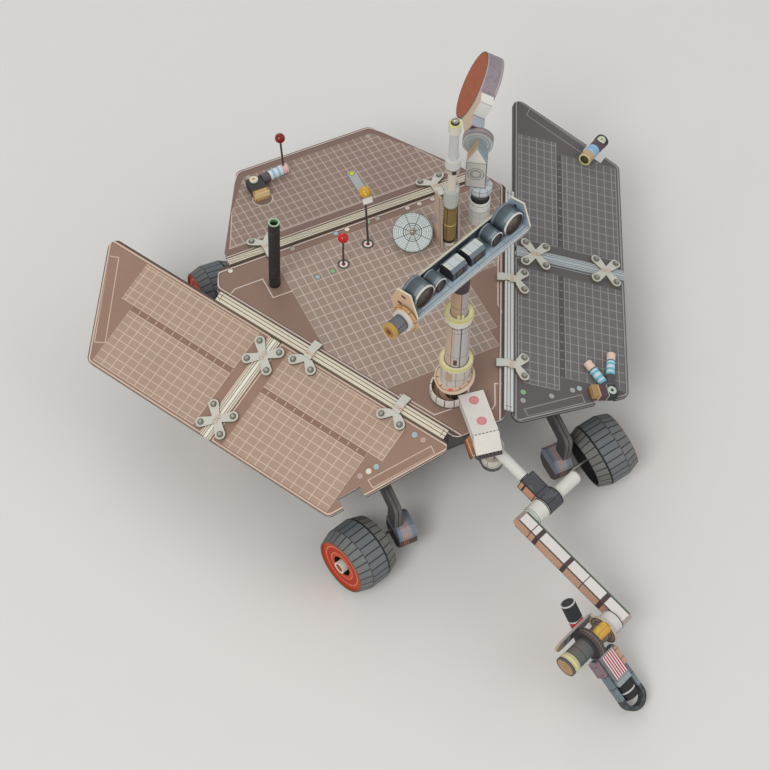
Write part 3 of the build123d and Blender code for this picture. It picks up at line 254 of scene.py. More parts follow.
CARD_THICKNESS = 1.2
HINGE_ANGLE = radians(27.9)
HINGE_FRONT = 6.4
DECK_WIDE = 72.0
DECK_BACK = 78.3
PALE_EDGE = (206, 196, 182)
DARK_BACK = (58, 53, 50)
CLOUD = (162, 183, 190)
CREAM = (226, 219, 196)
LEAF = (142, 178, 134)
PINKISH = (186, 160, 149)
BLUSH = (206, 192, 182)
PEBBLE = (170, 165, 156)
RULE = 0.22
PEN = 0.34

deck, x, y, under = sheet("central_deck", (140, 112, 97), spot(0, 0, 0), LEFT, AFT, -UP)
beside = abs(x)
wing_edge = beside * cos(HINGE_ANGLE) - y * sin(HINGE_ANGLE) - HINGE_FRONT * cos(HINGE_ANGLE) - 0.2
corner_edge = (beside - 45.3) * 0.937 + (y - DECK_WIDE) * 0.348
border = deck.rounded(1.2, wing_edge + 0.28, corner_edge, y - DECK_BACK)
cells = (wing_edge < -1.0) & y.within(21.84, 75.3) & (x > -26.35)
cells = cells & (1.0 - ((x > 19.34) & (y < 47.0))) & (1.0 - ((x > 16.94) & (y < 27.78)))
deck.print(cells, (158, 137, 123))
deck.print(cells & (x.lines(0.1, 2.405, RULE) | y.lines(30.75, 2.97, RULE)), (207, 189, 177))
LEFT_OUTLINE = ((-43.2, 68.8), (-40.4, 70.5), (-32.1, 70.5), (-32.05, 63.2), (-26.3, 63.1))
FRONT_LEFT_OUTLINE = ((-16.7, 17.0), (-14.5, 18.5), (-9.2, 8.8), (-4.2, 8.6))
FRONT_RIGHT_OUTLINE = ((12.2, 9.95), (9.95, 11.1), (6.9, 5.0), (5.45, 3.9))
RIGHT_LINE = ((37.0, 61.0), (23.2, 34.7), (22.9, 31.0))
for corners in (LEFT_OUTLINE, FRONT_LEFT_OUTLINE, FRONT_RIGHT_OUTLINE, RIGHT_LINE):
    deck.print(deck.outline(x, y, corners, PEN), (214, 196, 186))
deck.rim(border, (96, 78, 70), (208, 190, 178), (84, 70, 62))
DECK_DOTS = (
    # (x, y, colour)
    (-39.1, 77.0, CREAM), (-20.1, 77.0, PEBBLE), (-6.7, 77.0, CLOUD), (-3.2, 77.0, CREAM),
    (3.3, 77.0, LEAF), (6.4, 77.0, PEBBLE), (15.9, 77.0, BLUSH), (19.7, 77.0, BLUSH),
    (23.9, 77.0, BLUSH), (-17.9, 64.7, CLOUD), (-13.2, 64.8, LEAF), (3.8, 64.8, PINKISH),
)
for dot_x, dot_y, colour in DECK_DOTS:
    away = deck.spread(x, y, (dot_x, dot_y))
    deck.dot(away, 0.88, (112, 88, 76), 0.7, colour)
for pin_at in ((-9.4, 65.8), (-0.1, 69.6)):
    away = deck.spread(x, y, pin_at)
    deck.lay(
        (away < 1.75, (84, 76, 70)),
        (away < 1.15, (236, 228, 220)),
        (away < 0.6, (178, 40, 36)),
    )
deck.cut_edge(under, PALE_EDGE)
deck.dress()

# The rear panel: a second sheet of the same print, hinged along the deck's rear edge
# and sloping down a little. Its grid is cut back in steps at the two front corners.
REAR_DROOP = radians(8.0)
REAR_LONG = 37.2
rear_start = spot(0, DECK_BACK, 0)
rear_up = Vector((0, sin(REAR_DROOP), cos(REAR_DROOP)))
rear_way = Vector((0, cos(REAR_DROOP), -sin(REAR_DROOP)))
rear, x, back, under = sheet("rear_panel", (128, 103, 91), rear_start, LEFT, rear_way, -rear_up)
beside = abs(x)
slope_out = beside * 0.82 + back * 0.572 - 39.0
side = beside - 39.6 + back * 0.03
border = rear.rounded(1.5, slope_out, side, back - REAR_LONG)
steps = beside * 0.914 + back * 0.406 - 35.8
cells = back.within(6.9, 34.0) & (steps < 0) & (border < -2.6)
rear.print(cells, (146, 124, 112))
rear.lay(
    (x.lines(0.2, 2.42, RULE) | back.lines(7.55, 3.0, RULE), (198, 179, 167)),
    (back.line(7.05, 0.3) | steps.line(-0.2, 0.3), (198, 179, 167)),
    only=cells,
)
border = rear.rounded(1.0, border, 3.68 - back)
rear.rim(border, (92, 74, 66), (205, 186, 174), (84, 70, 62))
for dot_x, dot_back in ((-34.6, 21.9), (34.6, 21.9), (-19.4, 33.2), (19.4, 33.2)):
    away = rear.spread(x, back, (dot_x, dot_back))
    rear.print(away < 0.75, PEBBLE)
away = rear.spread(x, back, (-19.4, 22.2))
rear.lay((away.within(2.7, 3.1), (196, 184, 164)), (away < 2.7, (122, 104, 92)))
rear.cut_edge(under, PALE_EDGE)
rear.dress()

# The two wings: each is a primary and a secondary panel of the same printed card, hung
# on the deck's long seams and drooping outwards. A reddish band divides each one's grid.
# The right wing's print is painted lighter and warmer, as painted light, and the left
# wing's greyer and darker, with a grey cut edge, as painted shade.
WING_SPLIT = (57.02, 60.28)
WING_OUT = 36.75
SHADED_WING_EDGE = (142, 138, 138)
# Ground, cell, grid line and band carry painted light on the right and painted shade on the left.
WINGS = {
    # side: (sign of x, droop, ground, cell, grid line, band)
    "right": (-1, 18.6, (152, 121, 103), (176, 147, 127), (212, 188, 168), (142, 109, 92)),
    "left": (1, 16.9, (95, 90, 89), (110, 105, 104), (154, 151, 151), (86, 79, 78)),
}
PANELS = {
    # name: (the inner block's ends, the outer block's ends, the outer block's far side)
    "primary": ((13.4, 53.5), (18.0, 53.3), 36.0),
    "secondary": ((63.8, 104.5), (63.8, 100.1), 35.5),
}
WING_DOTS = {
    # side: (s, v, colour) of each printed dot
    "right": (
        (10.25, 5.95, CLOUD), (7.5, 5.9, PINKISH), (13.9, 18.6, CLOUD), (14.9, 20.7, CREAM),
        (16.1, 23.0, PINKISH),
    ),
    "left": (
        (10.25, 5.95, LEAF), (7.5, 5.9, PEBBLE), (11.0, 14.1, PEBBLE), (14.5, 20.2, PEBBLE),
        (15.6, 22.2, CLOUD),
    ),
}
FRONT_FRAME = ((4.7, 6.2), (2.7, 7.4), (11.3, 23.8), (13.6, 22.75), (4.7, 6.2))
REAR_FRAME = ((115.7, 8.15), (112.95, 7.1), (100.2, 29.6), (103.0, 31.1), (115.7, 8.15))


def wing_frame(side):
    """Where a wing starts, with its directions along the hinge, outwards and up."""
    sign = WINGS[side][0]
    droop = radians(WINGS[side][1])
    along = Vector((sign * sin(HINGE_ANGLE), cos(HINGE_ANGLE), 0))
    out_x = sign * cos(HINGE_ANGLE) * cos(droop)
    out = Vector((out_x, -sin(HINGE_ANGLE) * cos(droop), -sin(droop)))
    up = out.cross(along) * sign
    return spot(sign * HINGE_FRONT, 0, 0), along, out, up


for side, (sign, _, ground, cell, rule, band) in WINGS.items():
    start, along, out, up = wing_frame(side)
    for half, (inner, outer, far_side) in PANELS.items():
        panel, s, v, under = sheet(half + "_panel_" + side, ground, start, along, out, -up)
        if half == "primary":
            tip = ((v - 2.9) * 0.4574 - s * 0.8893) - 0.62
            split = s - WING_SPLIT[0]
        else:
            tip = (s - 119.5) * 0.8806 + (v - 2.9) * 0.4735
            split = WING_SPLIT[1] - s
        border = panel.rounded(0.4, panel.rounded(1.5, tip, v - WING_OUT, 3.33 - v), split)
        first = s.within(*inner) & v.within(4.5, 16.5)
        second = s.within(*outer) & v.within(18.2, far_side)
        middle = s.within(*outer) & v.within(16.5, 18.2)
        if half == "primary":
            first = first & (((s - 13.4) * 0.7 + (v - 4.5) * 0.7) > 1.0)
        panel.lay((first | second, cell), (middle, band))
        columns = s.lines(outer[0], 3.03, RULE)
        across = v.lines(5.5, 2.38, RULE) | v.line(4.6, RULE) | v.line(16.4, RULE) | v.line(18.3, RULE)
        ends = v.line(far_side - 0.1, RULE) | s.line(inner[0] + 0.1, RULE)
        printed = (first | second) & (columns | across | ends)
        panel.lay(
            (printed | (middle & columns & v.lines(17.35, 9.0, 1.1)), rule),
            (panel.outline(s, v, FRONT_FRAME if half == "primary" else REAR_FRAME, 0.24), rule),
        )
        if half == "primary":
            for dot_s, dot_v, colour in WING_DOTS[side]:
                away = panel.spread(s, v, (dot_s, dot_v))
                panel.dot(away, 0.95, band, 0.78, colour)
        panel.rim(border, band, rule, (78, 66, 60))
        # The left wing's grey cut edge is painted shade.
        panel.cut_edge(under, PALE_EDGE if sign < 0 else SHADED_WING_EDGE)
        panel.dress()

# The folded strips that cover the seams: cream printed card, glued over the joint of the
# deck with each wing, along the rear edge and across each wing. Fine printed lines run
# along them, the rear one is hatched, and the left ones are printed in a cooler white;
# the one across the left wing is also darker, as painted shade like its wing.
EDGE_INK = (104, 90, 76)
strip, x, y = sheet("hinge_strips", (220, 209, 186), spot(0, 0, 0), LEFT, AFT)
beside = abs(x)
out = (beside - HINGE_FRONT) * cos(HINGE_ANGLE) - y * sin(HINGE_ANGLE)
aft = (beside - HINGE_FRONT) * sin(HINGE_ANGLE) + y * cos(HINGE_ANGLE)
at_rear = y > 78.4
across = (out > 3.5) & (y < 78.0)
along_seam = (out < 3.5) & (y < 78.0)
# The cooler white on the left is print. Across the left wing it is also darker, as painted shade.
strip.lay(((x > 5.0) & along_seam, (206, 213, 210)), ((x > 5.0) & across, (176, 185, 186)))
strip.lay(
    (out.line(1.22, 0.2) | out.line(2.1, 0.2), EDGE_INK),
    (out < 0.5, EDGE_INK),
    (out > 2.95, EDGE_INK),
    only=along_seam,
)
ends = (aft.line(4.1, 0.2) | aft.line(79.4, 0.2)) & out.within(0.8, 2.6)
strip.print(along_seam & ends, EDGE_INK)
for seam_line in (57.45, 58.1, 59.2, 59.85):
    strip.print(across & aft.line(seam_line, 0.17), EDGE_INK)
strip.print(across & aft.within(58.3, 59.0) & (x < 0), (234, 230, 214))
hatch = (x * 0.8 + y).lines(0.0, 0.8, 0.22) & y.within(79.4, 80.7)
strip.lay(
    (at_rear & (hatch | y.line(79.3, 0.18) | y.line(80.8, 0.18)), EDGE_INK),
    (at_rear & ((y < 78.85) | (y > 81.3)), EDGE_INK),
).dress(grain=0.06)

# The hinge brackets: pale grey-green card, cut to lobes and glued astride the strips.
# Each lobe has a round rivet, and two pinkish knuckles stand over each middle.
BRACKET_TOP = 0.94
SPLIT_MIDDLE = 58.65
LOBE_ACROSS = 3.0
bracket = Card("hinge_brackets", (204, 201, 188))
bracket.print(abs(bracket.facing(UP)) < 0.55, (112, 104, 86))
bracket.dress(grain=0.07)


def fresh():
    """Leaves nothing selected, so that an operator only reaches what comes next."""
    if bpy.context.object and bpy.context.object.mode != "OBJECT":
        bpy.ops.object.mode_set(mode="OBJECT")
    bpy.ops.object.select_all(action="DESELECT")


def pick_faces(piece, wanted):
    """Goes into edit mode with only those faces selected whose centre and normal pass."""
    bpy.ops.object.mode_set(mode="EDIT")
    bpy.context.tool_settings.mesh_select_mode = (False, False, True)
    bpy.ops.mesh.select_all(action="DESELECT")
    bpy.ops.object.mode_set(mode="OBJECT")
    for face in piece.data.polygons:
        face.select = wanted(face.center * 1000, face.normal)
    bpy.ops.object.mode_set(mode="EDIT")


def seat(at, across, up):
    """Puts a shape at a place, its x turned across and its z turned up."""
    z = up.normalized()
    x = (across - z * across.dot(z)).normalized()
    y = z.cross(x)
    turned = Matrix((x, y, z)).transposed()
    return Matrix.Translation(at) @ turned.to_4x4()


def copies(master, places, name, body):
    """Copies a finished shape to each place and joins the copies as one piece."""
    fresh()
    made = []
    for place in places:
        twin = bpy.data.objects.new(name, master.data.copy())
        twin.data.transform(place)
        bpy.context.scene.collection.objects.link(twin)
        twin.select_set(True)
        made.append(twin)
    bpy.data.objects.remove(master)
    bpy.context.view_layer.objects.active = made[0]
    if len(made) > 1:
        bpy.ops.object.join()
    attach(made[0], body)
    return made[0]


def raise_top(piece, *steps):
    """Insets a piece's top face and lifts it, step by step, by (inset, lift)."""
    for inset, lift in steps:
        top = max(vertex.co.z * 1000 for vertex in piece.data.vertices)
        pick_faces(piece, lambda centre, normal: normal.z > 0.9 and centre.z > top - 0.01)
        bpy.ops.mesh.inset(thickness=inset / 1000)
        bpy.ops.transform.translate(value=(0, 0, lift / 1000))
        bpy.ops.object.mode_set(mode="OBJECT")


def coin(sides, radius):
    """A thin round plate, to build a rivet or a lens on."""
    fresh()
    bpy.ops.mesh.primitive_cylinder_add(vertices=sides, radius=radius, depth=0.0002)
    return bpy.context.object


def bracket_places(cross_steps, cross_rise, fork_step, fork_out):
    """Places on the brackets: round the middle of each cross, and two on each fork."""
    places = []
    for side in WINGS:
        start, along, out_way, up = wing_frame(side)
        for cross_v in (9.4, 30.9):
            for s_step, v_step in cross_steps:
                at = along * (SPLIT_MIDDLE + s_step) + out_way * (cross_v + v_step)
                at = at + up * (BRACKET_TOP + cross_rise)
                places.append(seat(start + at / 1000, along, up))
        for fork_s in (18.0, 47.8):
            for step in (-fork_step, fork_step):
                at = along * (fork_s + step) + out_way * fork_out + up * BRACKET_TOP
                places.append(seat(start + at / 1000, along, up))
    for fork_x in (-26.6, 26.6):
        for step in (-fork_step, fork_step):
            at = LEFT * (fork_x + step) + rear_way * fork_out + rear_up * BRACKET_TOP
            places.append(seat(rear_start + at / 1000, rear_way, rear_up))
    return places


def box(size, scale):
    """A plain box: its size is stretched by three scales."""
    fresh()
    bpy.ops.mesh.primitive_cube_add(size=size)
    made = bpy.context.object
    made.scale = scale
    bpy.ops.object.transform_apply(location=False, rotation=False, scale=True)
    return made


def soften(width):
    """Cuts every edge of the active piece a little."""
    bpy.ops.object.mode_set(mode="EDIT")
    bpy.ops.mesh.select_all(action="SELECT")
    bpy.ops.mesh.bevel(offset=width, segments=1)
    bpy.ops.object.mode_set(mode="OBJECT")


rivet = coin(20, 0.00088)
raise_top(rivet, (0.22, 0.0), (0.03, 0.2), (0.18, 0.18), (0.24, 0.1))
ring_ink = Card("rivet_ring", (104, 100, 88))
ring_ink.print(ring_ink.blotches(1.3) > 0.56, (120, 114, 98))
dome_ink = Card("rivet_dome", (162, 162, 150), 0.5)
dome_ink.print(dome_ink.blotches(0.9) > 0.6, (176, 176, 160))
rivet.data.materials.append(ring_ink.finish(grain=0.05))
rivet.data.materials.append(dome_ink.finish(grain=0.06))
for face in rivet.data.polygons:
    away = hypot(face.center.x, face.center.y) * 1000
    face.material_index = 1 if face.center.z * 1000 > 0.11 and away < 0.72 else 0
LOBE_ALONG = 3.4
lobes = [(s, v) for s in (-LOBE_ALONG, LOBE_ALONG) for v in (-LOBE_ACROSS, LOBE_ACROSS)]
places = bracket_places(lobes, 0.0, LOBE_ACROSS, 5.9)
copies(rivet, places, "bracket_rivets", "chassis")

knuckle = box(0.0009, (1.35, 1.15, 0.4))
raise_top(knuckle, (0.12, 0.1))
soften(0.00005)
pink = Card("knuckle_card", (204, 184, 164))
pink.print(pink.blotches(0.8) > 0.62, (188, 150, 134))
knuckle.data.materials.append(pink.finish(grain=0.05))
places = bracket_places(((0.0, -0.74), (0.0, 0.74)), 0.02, 0.66, 2.15)
copies(knuckle, places, "bracket_knuckles", "chassis")

# The body under the deck: a folded box of dark grey card with printed panel joints, and
# the bracket at its front that carries the arm.
box_ink, x, y, down = sheet("body_box", (92, 90, 90), spot(0, 0, 0), LEFT, AFT, -UP)
seams = y.lines(10.0, 13.2, 0.35) | down.line(4.6, 0.35) | down.line(14.2, 0.35)
box_ink.lay(
    (seams, (48, 46, 46)),
    (y.lines(10.45, 13.2, 0.18) & down.within(4.6, 14.2), (140, 136, 128)),
)
rivet_row = y.lines(11.6, 2.64, 0.5) & (down.line(5.7, 0.5) | down.line(13.1, 0.5))
box_ink.lay(
    (rivet_row, (150, 145, 134)),
    ((down > 18.6) & (x.lines(0, 9.4, 0.35) | y.lines(10.0, 13.2, 0.35)), (60, 58, 58)),
).dress("arm_bracket", grain=0.08)

# The legs: rockers and bogies are flat plates of doubled card, coloured near black as
# painted shade, for they stand in shadow under the wings. Their cut edges are paler, with
# dark lines between the layers.
legs = Card("rockers", (70, 70, 72))
edge = abs(legs.facing(LEFT)) < 0.5
legs.print(legs.blotches(7.0) > 0.56, (62, 62, 65))
beside = abs(legs.along(spot(0, 0, 0), LEFT))
legs.lay((edge, (98, 95, 92)), (edge & beside.lines(24.7, 1.2, 0.3), (44, 42, 42)))
legs.dress("bogies")

# The drive box inside each wheel: blue-grey card with copper stripes wrapped round it,
# dark below, and a bent steel wire as the axle. The box's colours are dimmed, partly as
# painted shade under the wings.
drive = Card("drive_boxes", (126, 132, 144))
beside = abs(drive.along(spot(0, 0, 0), LEFT))
y = drive.along(spot(0, 0, 0), AFT)
up = drive.along(spot(0, 0, -39.0), UP)
across = beside - 24.3 - (y > 20.0) * 5.7 + (y > 72.0) * 3.6
copper = abs(across) < 1.3
drive.lay(
    (copper, (148, 152, 160)),
    (copper & across.lines(0.25, 0.62, 0.19), (186, 122, 86)),
    (abs(across).line(2.25, 0.2), (92, 104, 120)),
)
below = up < 9.8
drive.lay(
    (below, (74, 66, 62)),
    (below & (abs(across - 0.3) < 0.9) & across.lines(0.25, 0.62, 0.3), (150, 96, 70)),
    (up.line(9.8, 0.25), (48, 46, 48)),
).dress()

wire = Card("axle_wires", (176, 172, 164), 0.32)
wire.shader.inputs["Metallic"].default_value = 0.85
wire.print(wire.blotches(1.6) > 0.58, (150, 144, 134))
wire.dress("steel_pins", grain=0.04, mottle=0.08, fibre=0.1)

# The six wheels: rolled barrels of card, printed as rows of grey slats with black gaps.
# A hub disc in orange red, with a white hub ring in its hole, closes the outer side. The
# slats' grey is kept dark, partly as painted shade, and the hub hole and the open inner
# side are painted near black, as painted shade.
WHEELS = {
    # name: (side, y, x, toe, camber) as the glued axles hold it
    "front_right": (-1, -5.4, 38.2, 16.7, 3.0),
    "front_left": (1, -4.2, 37.8, -4.3, 12.7),
    "middle_right": (-1, 47.0, 44.0, 0.0, 3.0),
    "middle_left": (1, 47.0, 44.0, 0.0, 3.0),
    "rear_right": (-1, 93.5, 38.2, 0.0, 3.0),
    "rear_left": (1, 93.5, 38.2, 0.0, 3.0),
}
WHEEL_RADIUS = 9.43
HALF_BAND = 2.875
SLATS = 26
for name, (side, wheel_y, wheel_x, toe, camber) in WHEELS.items():
    lean = radians(camber)
    turned = radians(toe)
    axle = Vector((side * cos(turned) * cos(lean), -sin(turned) * cos(lean), sin(lean)))
    height = WHEEL_RADIUS * cos(lean) + HALF_BAND * sin(lean)
    hub = spot(side * wheel_x, wheel_y, height - DECK_HEIGHT)
    forward = axle.cross(UP).normalized()
    # The slat grey is kept dark, partly as painted shade.
    wheel = Card("wheel_" + name, (108, 113, 115))
    t = wheel.along(hub, axle)
    radius, turn = wheel.around(wheel.along(hub, forward), wheel.along(hub, forward.cross(axle)))
    outer = t > HALF_BAND
    inner = t < -HALF_BAND
    wheel.lay((outer, (113, 115, 114)), (inner, (112, 112, 106)))
    count = turn * SLATS + outer * 0.34 + inner * 0.5
    whole = wheel.work("FLOOR", count)
    slat = wheel.node("ShaderNodeTexWhiteNoise", {"noise_dimensions": "1D"}, {"W": whole})
    wheel.shade(Amount(wheel, slat["Value"]) * 0.16 + 0.92)
    wheel.lay((count.lines(0.0, 1.0, 0.15), (34, 34, 36)), (t.line(-HALF_BAND, 0.55), (24, 24, 26)))
    dashes = t.line(HALF_BAND, 0.3) & (((turn * SLATS * 2) % 1.0) < 0.62)
    wheel.print(t.line(HALF_BAND, 0.18) | dashes, (84, 62, 56))
    face = (t > 5.4) & (radius < 7.75)
    wheel.print(face, (194, 68, 28))
    wheel.lay(
        (radius.within(4.3, 6.2), (178, 44, 16)),
        (radius.line(6.2, 0.26) | radius.line(4.2, 0.26), (222, 140, 96)),
        only=face,
    )
    # Near black in the hub hole and inside the inner side: painted shade.
    wheel.lay(
        ((t > 6.2) & (radius > 7.5), (120, 84, 62)),
        ((radius < 3.25) & (t < 5.8), (26, 24, 24)),
        ((radius < 1.95) & (t > 5.0), (222, 218, 208)),
        ((radius < 1.35) & (t < 6.7), (186, 104, 62)),
        ((t < -3.2) & (radius < 7.5), (38, 36, 36)),
    ).dress()

# The camera mast: a segmented white ring on the deck with a dark post inside, a tilted
# tan plate, then a can and a column, each closed by a lime collar, and the tan neck.
def rolled(piece, base, at, way=UP, across=LEFT):
    """A card for a round piece, with the three amounts of its axis."""
    card = Card(piece, base)
    return card, *card.axis(at, way, across)


MAST = spot(-1.3, 13.0, 0)
LIME = (206, 200, 124)
PALE_LIME = (222, 214, 176)
DUSK = (50, 45, 44)
foot, t, radius, turn = rolled("mast_foot", (224, 217, 205), spot(-2.4, 13.6, 0))
# Inside the ring, its white is painted peach, as a painted warm reflection.
foot.lay(
    (turn.lines(0.02, 1 / 13, 0.008) & (t > 0.5), (84, 76, 72)),
    (t < 0.5, (110, 96, 86)),
    (radius < 4.9, (176, 142, 114)),
    ((radius < 4.9) & radius.lines(3.0, 1.6, 0.18), DUSK),
)
t, radius, turn = foot.axis(MAST, UP, LEFT)
foot.lay(
    ((radius < 2.75) & (t > 0.62), (48, 44, 43)),
    ((radius < 2.75) & (turn.lines(0.06, 1 / 9, 0.012) | t.line(5.6, 0.3)), (126, 114, 104)),
).dress()

tilted = Vector((-sin(radians(16)), 0, cos(radians(16))))
plate, t, radius, turn = rolled("mast_plate", (208, 178, 150), MAST + UP * 0.0073, tilted)
plate.lay(
    (radius.within(4.8, 4.98), (120, 96, 82)),
    (turn.lines(0.03, 1 / 10, 0.01) & radius.within(4.2, 4.8), (84, 64, 54)),
    (turn.within(0.62, 0.66) & radius.within(4.2, 5.1), (204, 98, 88)),
    (t < 0.1, (150, 126, 108)),
    (radius > 5.33, (226, 204, 178)),
).dress()

can, t, radius, turn = rolled("mast_can", (196, 188, 178), MAST)
can.lay(
    (turn.lines(0.04, 1 / 11, 0.006) | t.line(11.0, 0.18), (124, 114, 106)),
    (turn.within(0.56, 0.64) & t.within(10.0, 13.6), (182, 156, 132)),
    (t.line(14.7, 0.2), DUSK),
    (t > 14.82, PALE_LIME),
    ((t > 15.25) & (radius > 4.1), LIME),
    ((t > 15.5) & (radius < 3.3), (96, 88, 64)),
).dress()

column, t, radius, turn = rolled("mast_column", (186, 180, 176), MAST)
# The side turned towards the warm lamp is painted tan, as painted light.
warm_lit_side = column.along(MAST, Vector((-0.9, 0.43, 0)))
column.lay(
    (warm_lit_side > 0.9, (192, 170, 150)),
    (turn.lines(0.715, 0.5, 0.013) | turn.lines(0.59, 0.25, 0.006), DUSK),
    (turn.within(0.63, 0.68) & t.within(16.4, 18.6), (88, 62, 52)),
    (t.line(31.5, 0.24) | t.line(29.7, 0.12) | t.line(19.6, 0.12), DUSK),
    (t > 32.5, (216, 208, 198)),
    (t > 34.2, PALE_LIME),
    ((t > 34.85) & (radius > 3.3), LIME),
    ((t > 35.1) & (radius < 2.4), (110, 92, 64)),
).dress()

neck, t, radius, turn = rolled("mast_neck", (184, 154, 124), MAST)
# The side turned away from the warm lamp is painted grey, as painted shade, and the dark band under the
# camera bar is a painted shadow.
neck.lay(
    (neck.along(MAST, Vector((0.9, -0.43, 0))) > 0.3, (172, 164, 158)),
    (turn.lines(0.70, 0.25, 0.014) | t.line(38.6, 0.2), (110, 88, 72)),
    (t.within(44.6, 49.2), (64, 56, 54)),
    (t > 49.2, (150, 146, 142)),
).dress()

# A square tab of the same card, cut from the column's collar, stands against the neck.
tab = box(0.002, (0.9, 0.16, 0.75))
soften(0.00006)
tab_card, t, radius, turn = rolled("collar_tab_card", (214, 204, 158), MAST)
tab_card.lay((t < 35.6, LIME), (turn.line(0.7, 0.02), (104, 94, 72)))
tab.data.materials.append(tab_card.finish())
tab_way = Vector((cos(0.7 * tau), sin(0.7 * tau), 0))
tab_place = seat(MAST + tab_way * 0.00238 + UP * 0.03592, UP.cross(tab_way), UP)
copies(tab, [tab_place], "collar_tab", "mast")

# The camera bar: a folded tray of blue-grey card, with a white front lip and a slate back
# wall, two unlike end plates, two large and two small drums and two square cameras.
def heading(degrees):
    """The level direction that is turned this far to the left from straight ahead."""
    return Vector((sin(radians(degrees)), -cos(radians(degrees)), 0))


BAR_AFT = -heading(20.5)
BAR_WAY = BAR_AFT.cross(UP)
BAR = spot(-1.3, 13.0, 54.0)
tray, a, b, z = sheet("camera_tray", (171, 186, 194), BAR, BAR_WAY, BAR_AFT, UP)
tray.lay(
    (tray.blotches(5.0) > 0.6, (162, 179, 190)),
    (b.line(-3.1, 0.16) | a.lines(2.4, 9.8, 0.2), (122, 136, 148)),
    (z < -0.5, (168, 158, 152)),
    (b < -3.6, (202, 208, 210)),
    ((b < -3.6) & (z.line(-0.25, 0.2) | z.line(-1.45, 0.24)), (98, 92, 98)),
    ((b > 2.9) & (z > 0.05), (78, 84, 94)),
    (b > 3.5, (150, 148, 146)),
    ((b > 3.5) & (a.lines(0.0, 6.6, 0.2) | z.line(1.6, 0.16)), (84, 84, 88)),
    (z > 3.3, (196, 192, 170)),
    ((z < -1.9) & (b > -2.5), (96, 90, 88)),
).dress()

drums = Card("camera_drums", (64, 75, 81), 0.42)
a = drums.along(BAR, BAR_WAY)
b = drums.along(BAR, BAR_AFT)
z = drums.along(BAR, UP)
large = drums.spread(abs(a), z, (15.9, 3.35))
small = drums.spread(abs(a), z, (10.1, 2.2))
# Painted light: each face is lighter or darker by which way it turns, and lighter towards the front.
drums.shade(drums.facing(Vector((-0.35, 0.2, 1))) * 0.4 + (1.6 - b) * 0.17 + 0.62)
drums.lay((b.line(1.5, 0.2) | b.line(-0.9, 0.14), (44, 50, 58)), (b.within(1.6, 2.0), (116, 126, 134)))
mouth = (large < 3.02) | (small < 1.87)
# The front rim's top is painted mid-grey, then white: a painted highlight.
rim_highlight_top = z > 3.6 - (abs(a) < 13.0) * 1.4
# Painted sheen: paler bands where the drums face up, as painted highlights.
sheen = drums.facing(UP - BAR_WAY * 0.4)
drums.lay(
    ((b < -0.2) & (sheen > 0.5), (80, 92, 99)),
    ((b < -0.7) & (sheen > 0.72), (100, 112, 118)),
    ((b < -1.1) & (sheen > 0.88), (132, 143, 147)),
)
drums.print(b < -2.0, (92, 99, 104))
drums.lay((rim_highlight_top, (156, 158, 157)), (z > 5.0 - (abs(a) < 13.0) * 1.7, (216, 214, 208)), only=b < -2.0)
drums.lay(
    ((b < -1.8) & mouth, (78, 60, 52)),
    ((b < -1.8) & (large.within(2.1, 2.35) | small.within(1.2, 1.4)), (40, 34, 32)),
    (b > 2.02, (104, 108, 112)),
    ((b > 2.02) & (large.line(1.6, 0.2) | small.line(1.0, 0.2)), (56, 60, 66)),
).dress(grain=0.06)

cases, a, b, z = sheet("camera_boxes", (72, 78, 88), BAR, BAR_WAY, BAR_AFT, UP)
level = cases.facing(UP)
middle = abs(abs(a) - 3.3)
cases.print(level > 0.4, (110, 120, 126))
cases.print(level > 0.9, (192, 198, 196))
cases.lay((middle > 2.35, (214, 210, 176)), (middle.line(1.2, 0.16), (150, 156, 156)), only=level > 0.9)
cases.lay(
    ((level < 0.3) & ((middle > 2.35) | z.line(2.6, 0.16)), (36, 38, 44)),
    ((b < -2.1) & (middle < 1.5) & abs(z - 1.5).within(-1, 1.1), (30, 28, 30)),
    ((b < -2.1) & (middle < 1.1) & abs(z - 1.5).within(-1, 0.75), (92, 74, 64)),
).dress(grain=0.06)

plates, a, b, z = sheet("bar_end_plates", (148, 166, 176), BAR, BAR_WAY, BAR_AFT, UP)
right_end = a < 0
rim = abs(plates.facing(BAR_WAY)) < 0.5
plates.lay(
    (a > 20.3, (176, 172, 164)),
    ((a > 0) & (z.line(2.6, 0.18) | b.line(-2.6, 0.18)), (90, 104, 116)),
    (plates.spread(b, z, (0.9, 4.4)) < 0.55, (64, 74, 84)),
    (right_end, (206, 174, 142)),
)
holes = (b.line(0.4, 1.4) & z.line(5.0, 0.8)) | (b.line(1.6, 1.3) & z.line(1.9, 0.8))
plates.lay((right_end & holes, (84, 58, 46)), (rim, (222, 214, 190)))
plates.dress()

drive_at = BAR - BAR_AFT * 0.0012 - UP * 0.001 - BAR_WAY * 0.0204
tilter, t, radius, turn = rolled("tilt_drive", (98, 100, 104), drive_at, -BAR_WAY, UP)
# Painted light: the drive is lighter or darker by which way each face turns.
tilter.shade(tilter.facing(Vector((0.5, -0.6, 0.6))) * 0.25 + 0.95)
tilter.lay(
    (t < 2.05, (220, 214, 204)),
    ((radius > 2.95) | (t < 1.12), (206, 160, 112)),
    ((radius > 2.95) & turn.lines(0.06, 0.125, 0.012), (146, 96, 58)),
    (radius.within(3.4, 3.56), (126, 86, 58)),
    ((t > 2.05) & (t.line(2.5, 0.16) | turn.lines(0.1, 0.25, 0.012)), (56, 56, 60)),
    (t > 5.3, (184, 146, 74)),
    (t.line(5.3, 0.2), (110, 76, 36)),
    ((t > 6.5) & (radius < 1.5), (160, 104, 46)),
    ((t > 6.5) & (radius < 0.7), (92, 58, 30)),
).dress()

